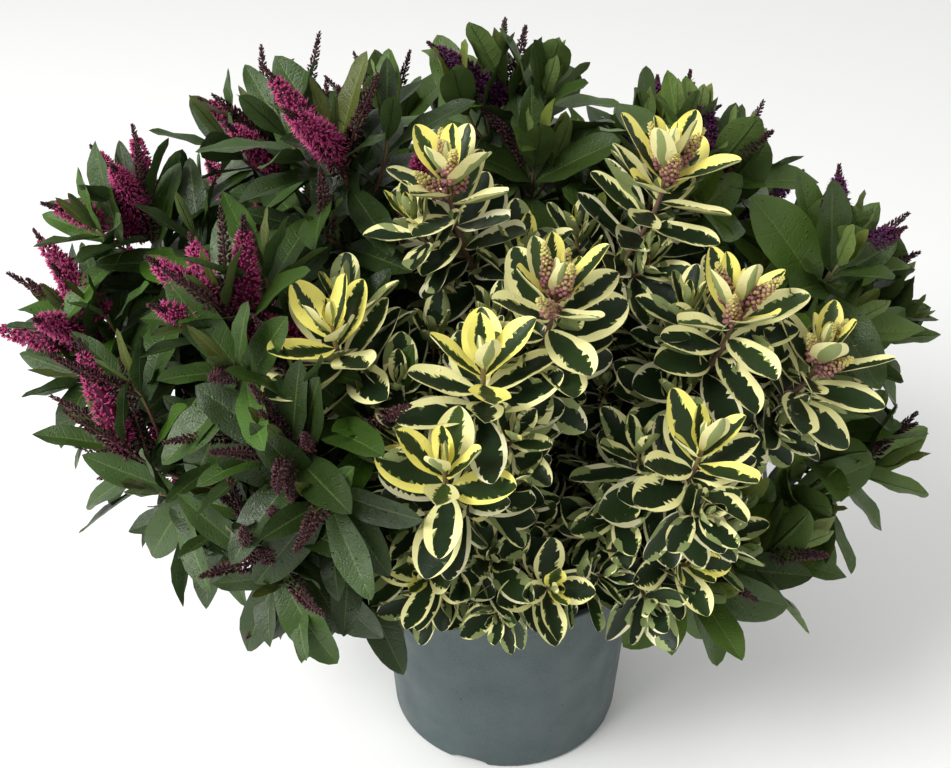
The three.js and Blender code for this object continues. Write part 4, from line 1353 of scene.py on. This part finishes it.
def make_soil():
    """A lumpy top of potting soil with loose crumbs on it."""
    edge = wall_radius(SOIL_LEVEL) - POT["wall"] - GAP

    def surface(radius):
        beyond = np.clip((radius - SOIL["level_to"]) / (edge - SOIL["level_to"]), 0, 1)
        return SOIL_LEVEL - SOIL["drop"] * beyond

    rings = []
    for radius in edge * np.arange(1, SOIL["rings"] + 1) / SOIL["rings"]:
        ring = level_ring(radius, surface(radius) - SOIL["settled"], SOIL["sides"])
        for corner in ring:
            spot = Vector((corner[0], corner[1], 3))
            corner[2] += SOIL["lumps"] * noise.fractal(spot * 0.09, 0.7, 2.0, 4)
        rings.append(ring)
    bottom = POT["floor"] + GAP
    rings.append(level_ring(wall_radius(bottom) - POT["wall"] - GAP, bottom, SOIL["sides"]))
    joined = Joined()
    corners, faces = closed_stack(rings, (0, 0, SOIL_LEVEL), (0, 0, bottom))
    joined.add(corners, faces[:, ::-1])  # these rings go from the top down
    draw = np.random.default_rng(SEED)
    count = SOIL["crumbs"]
    radius = (edge - 3) * np.sqrt(draw.random(count))
    turn = draw.random(count) * 2 * np.pi
    feet = np.stack([radius * np.cos(turn), radius * np.sin(turn), surface(radius) - 1.4], axis=1)
    directions = draw.normal(0, 1, (count, 3)) * [1, 1, 0.4]
    directions[:, 2] = np.abs(directions[:, 2])
    sizes = draw.uniform(1.5, 6, count)
    corners, faces = bud_net()
    crumbs = set_along(corners, feet, directions, sizes, sizes * draw.uniform(0.4, 0.8, count))
    joined.add_copies(crumbs, faces, draw.random((count, 1)) < SOIL["bark"])
    soil = varied_material("potting_soil", (44, 34, 26), **SOIL_FINISH)
    bark = varied_material("soil_bark", (92, 66, 46), 0.9, relief=(700, 5, 0.5, 0.0006, 1.0))
    joined.piece("soil", [soil, bark], "soil", ["potting_soil"])


# ---- Stage ----

CAMERA = dict(place=(-22.2, -747.5, 747), pitch=32.45, focal_px=1350, frame_px=951, sensor=36)
FLOOR_HALF = 6.0  # in metres, as are the places and sizes of the lamps
LAMPS = dict(
    key=dict(place=(-1.5, -1.3, 2.2), size=1.2, power=64),
    side=dict(place=(-2.2, -0.9, 0.8), size=1.0, power=24),
)
LAMP_AIM = Vector((0, 0, 0.28))
WORLD_STRENGTH = 0.75


def make_stage():
    data = bpy.data.cameras.new("camera")
    data.sensor_width = CAMERA["sensor"]
    data.lens = CAMERA["focal_px"] / CAMERA["frame_px"] * CAMERA["sensor"]
    camera = linked("camera", data)
    camera.location = Vector(CAMERA["place"]) * MM
    camera.rotation_euler = (math.radians(90 - CAMERA["pitch"]), 0, 0)
    bpy.context.scene.camera = camera

    corners = [(x * FLOOR_HALF, y * FLOOR_HALF, 0) for x, y in ((-1, -1), (1, -1), (1, 1), (-1, 1))]
    mesh = bpy.data.meshes.new("floor")
    mesh.from_pydata(corners, [], [(0, 1, 2, 3)])
    mesh.materials.append(new_material("pale_floor", (244, 244, 242), 0.85)[0])
    linked("floor", mesh)

    for name, rule in LAMPS.items():
        light = bpy.data.lights.new(name, "AREA")
        light.shape, light.size, light.energy = "DISK", rule["size"], rule["power"]
        lamp = linked(name, light)
        lamp.location = rule["place"]
        aim = LAMP_AIM - Vector(rule["place"])
        lamp.rotation_euler = aim.to_track_quat("-Z", "Y").to_euler()
    world = bpy.data.worlds.new("studio")
    world.use_nodes = True
    background = world.node_tree.nodes["Background"]
    background.inputs["Color"].default_value = (1, 1, 1, 1)
    background.inputs["Strength"].default_value = WORLD_STRENGTH
    bpy.context.scene.world = world
    bpy.context.scene.view_settings.view_transform = "Standard"


# ---- Assembly ----


def spikes_of(masses, form):
    rule = FORMS[form]["spikes"]
    found = []
    for mass in masses:
        if mass["place"] not in SPIKED.get(form, (mass["place"],)):
            continue
        for shoot in mass["shoots"]:
            one = int(shoot.kind == "side" and chance(shoot.key, 19) < rule["side"])
            for index in range(rule["leader"] if shoot.kind == "leader" else one):
                spike = spike_on(shoot, index)
                spike["blooms"] = spike["blooms"] and mass["place"] not in STILL_IN_BUD[form]
                tip = spike["path"].point(1)
                if in_outline(tip, SPIKES_WITHIN) and clear_of_pot(tip, POT_GAPS["spikes"]):
                    found.append(spike)
    return found


def build():
    make_stage()
    stems, boughs, masses = make_masses()
    make_wood(stems, boughs)
    make_pot()
    make_soil()
    leaves = grow_leaves(masses)
    for form in ("narrow", "broad"):
        green_leaves(form, leaves[form])
    variegated_leaves("variegated_leaves_a", leaves["variegated"][::2])
    variegated_leaves("variegated_leaves_b", leaves["variegated"][1::2])
    for form in FORMS:
        make_twigs(form, masses[form])
        make_spikes(form, spikes_of(masses[form], form))


build()
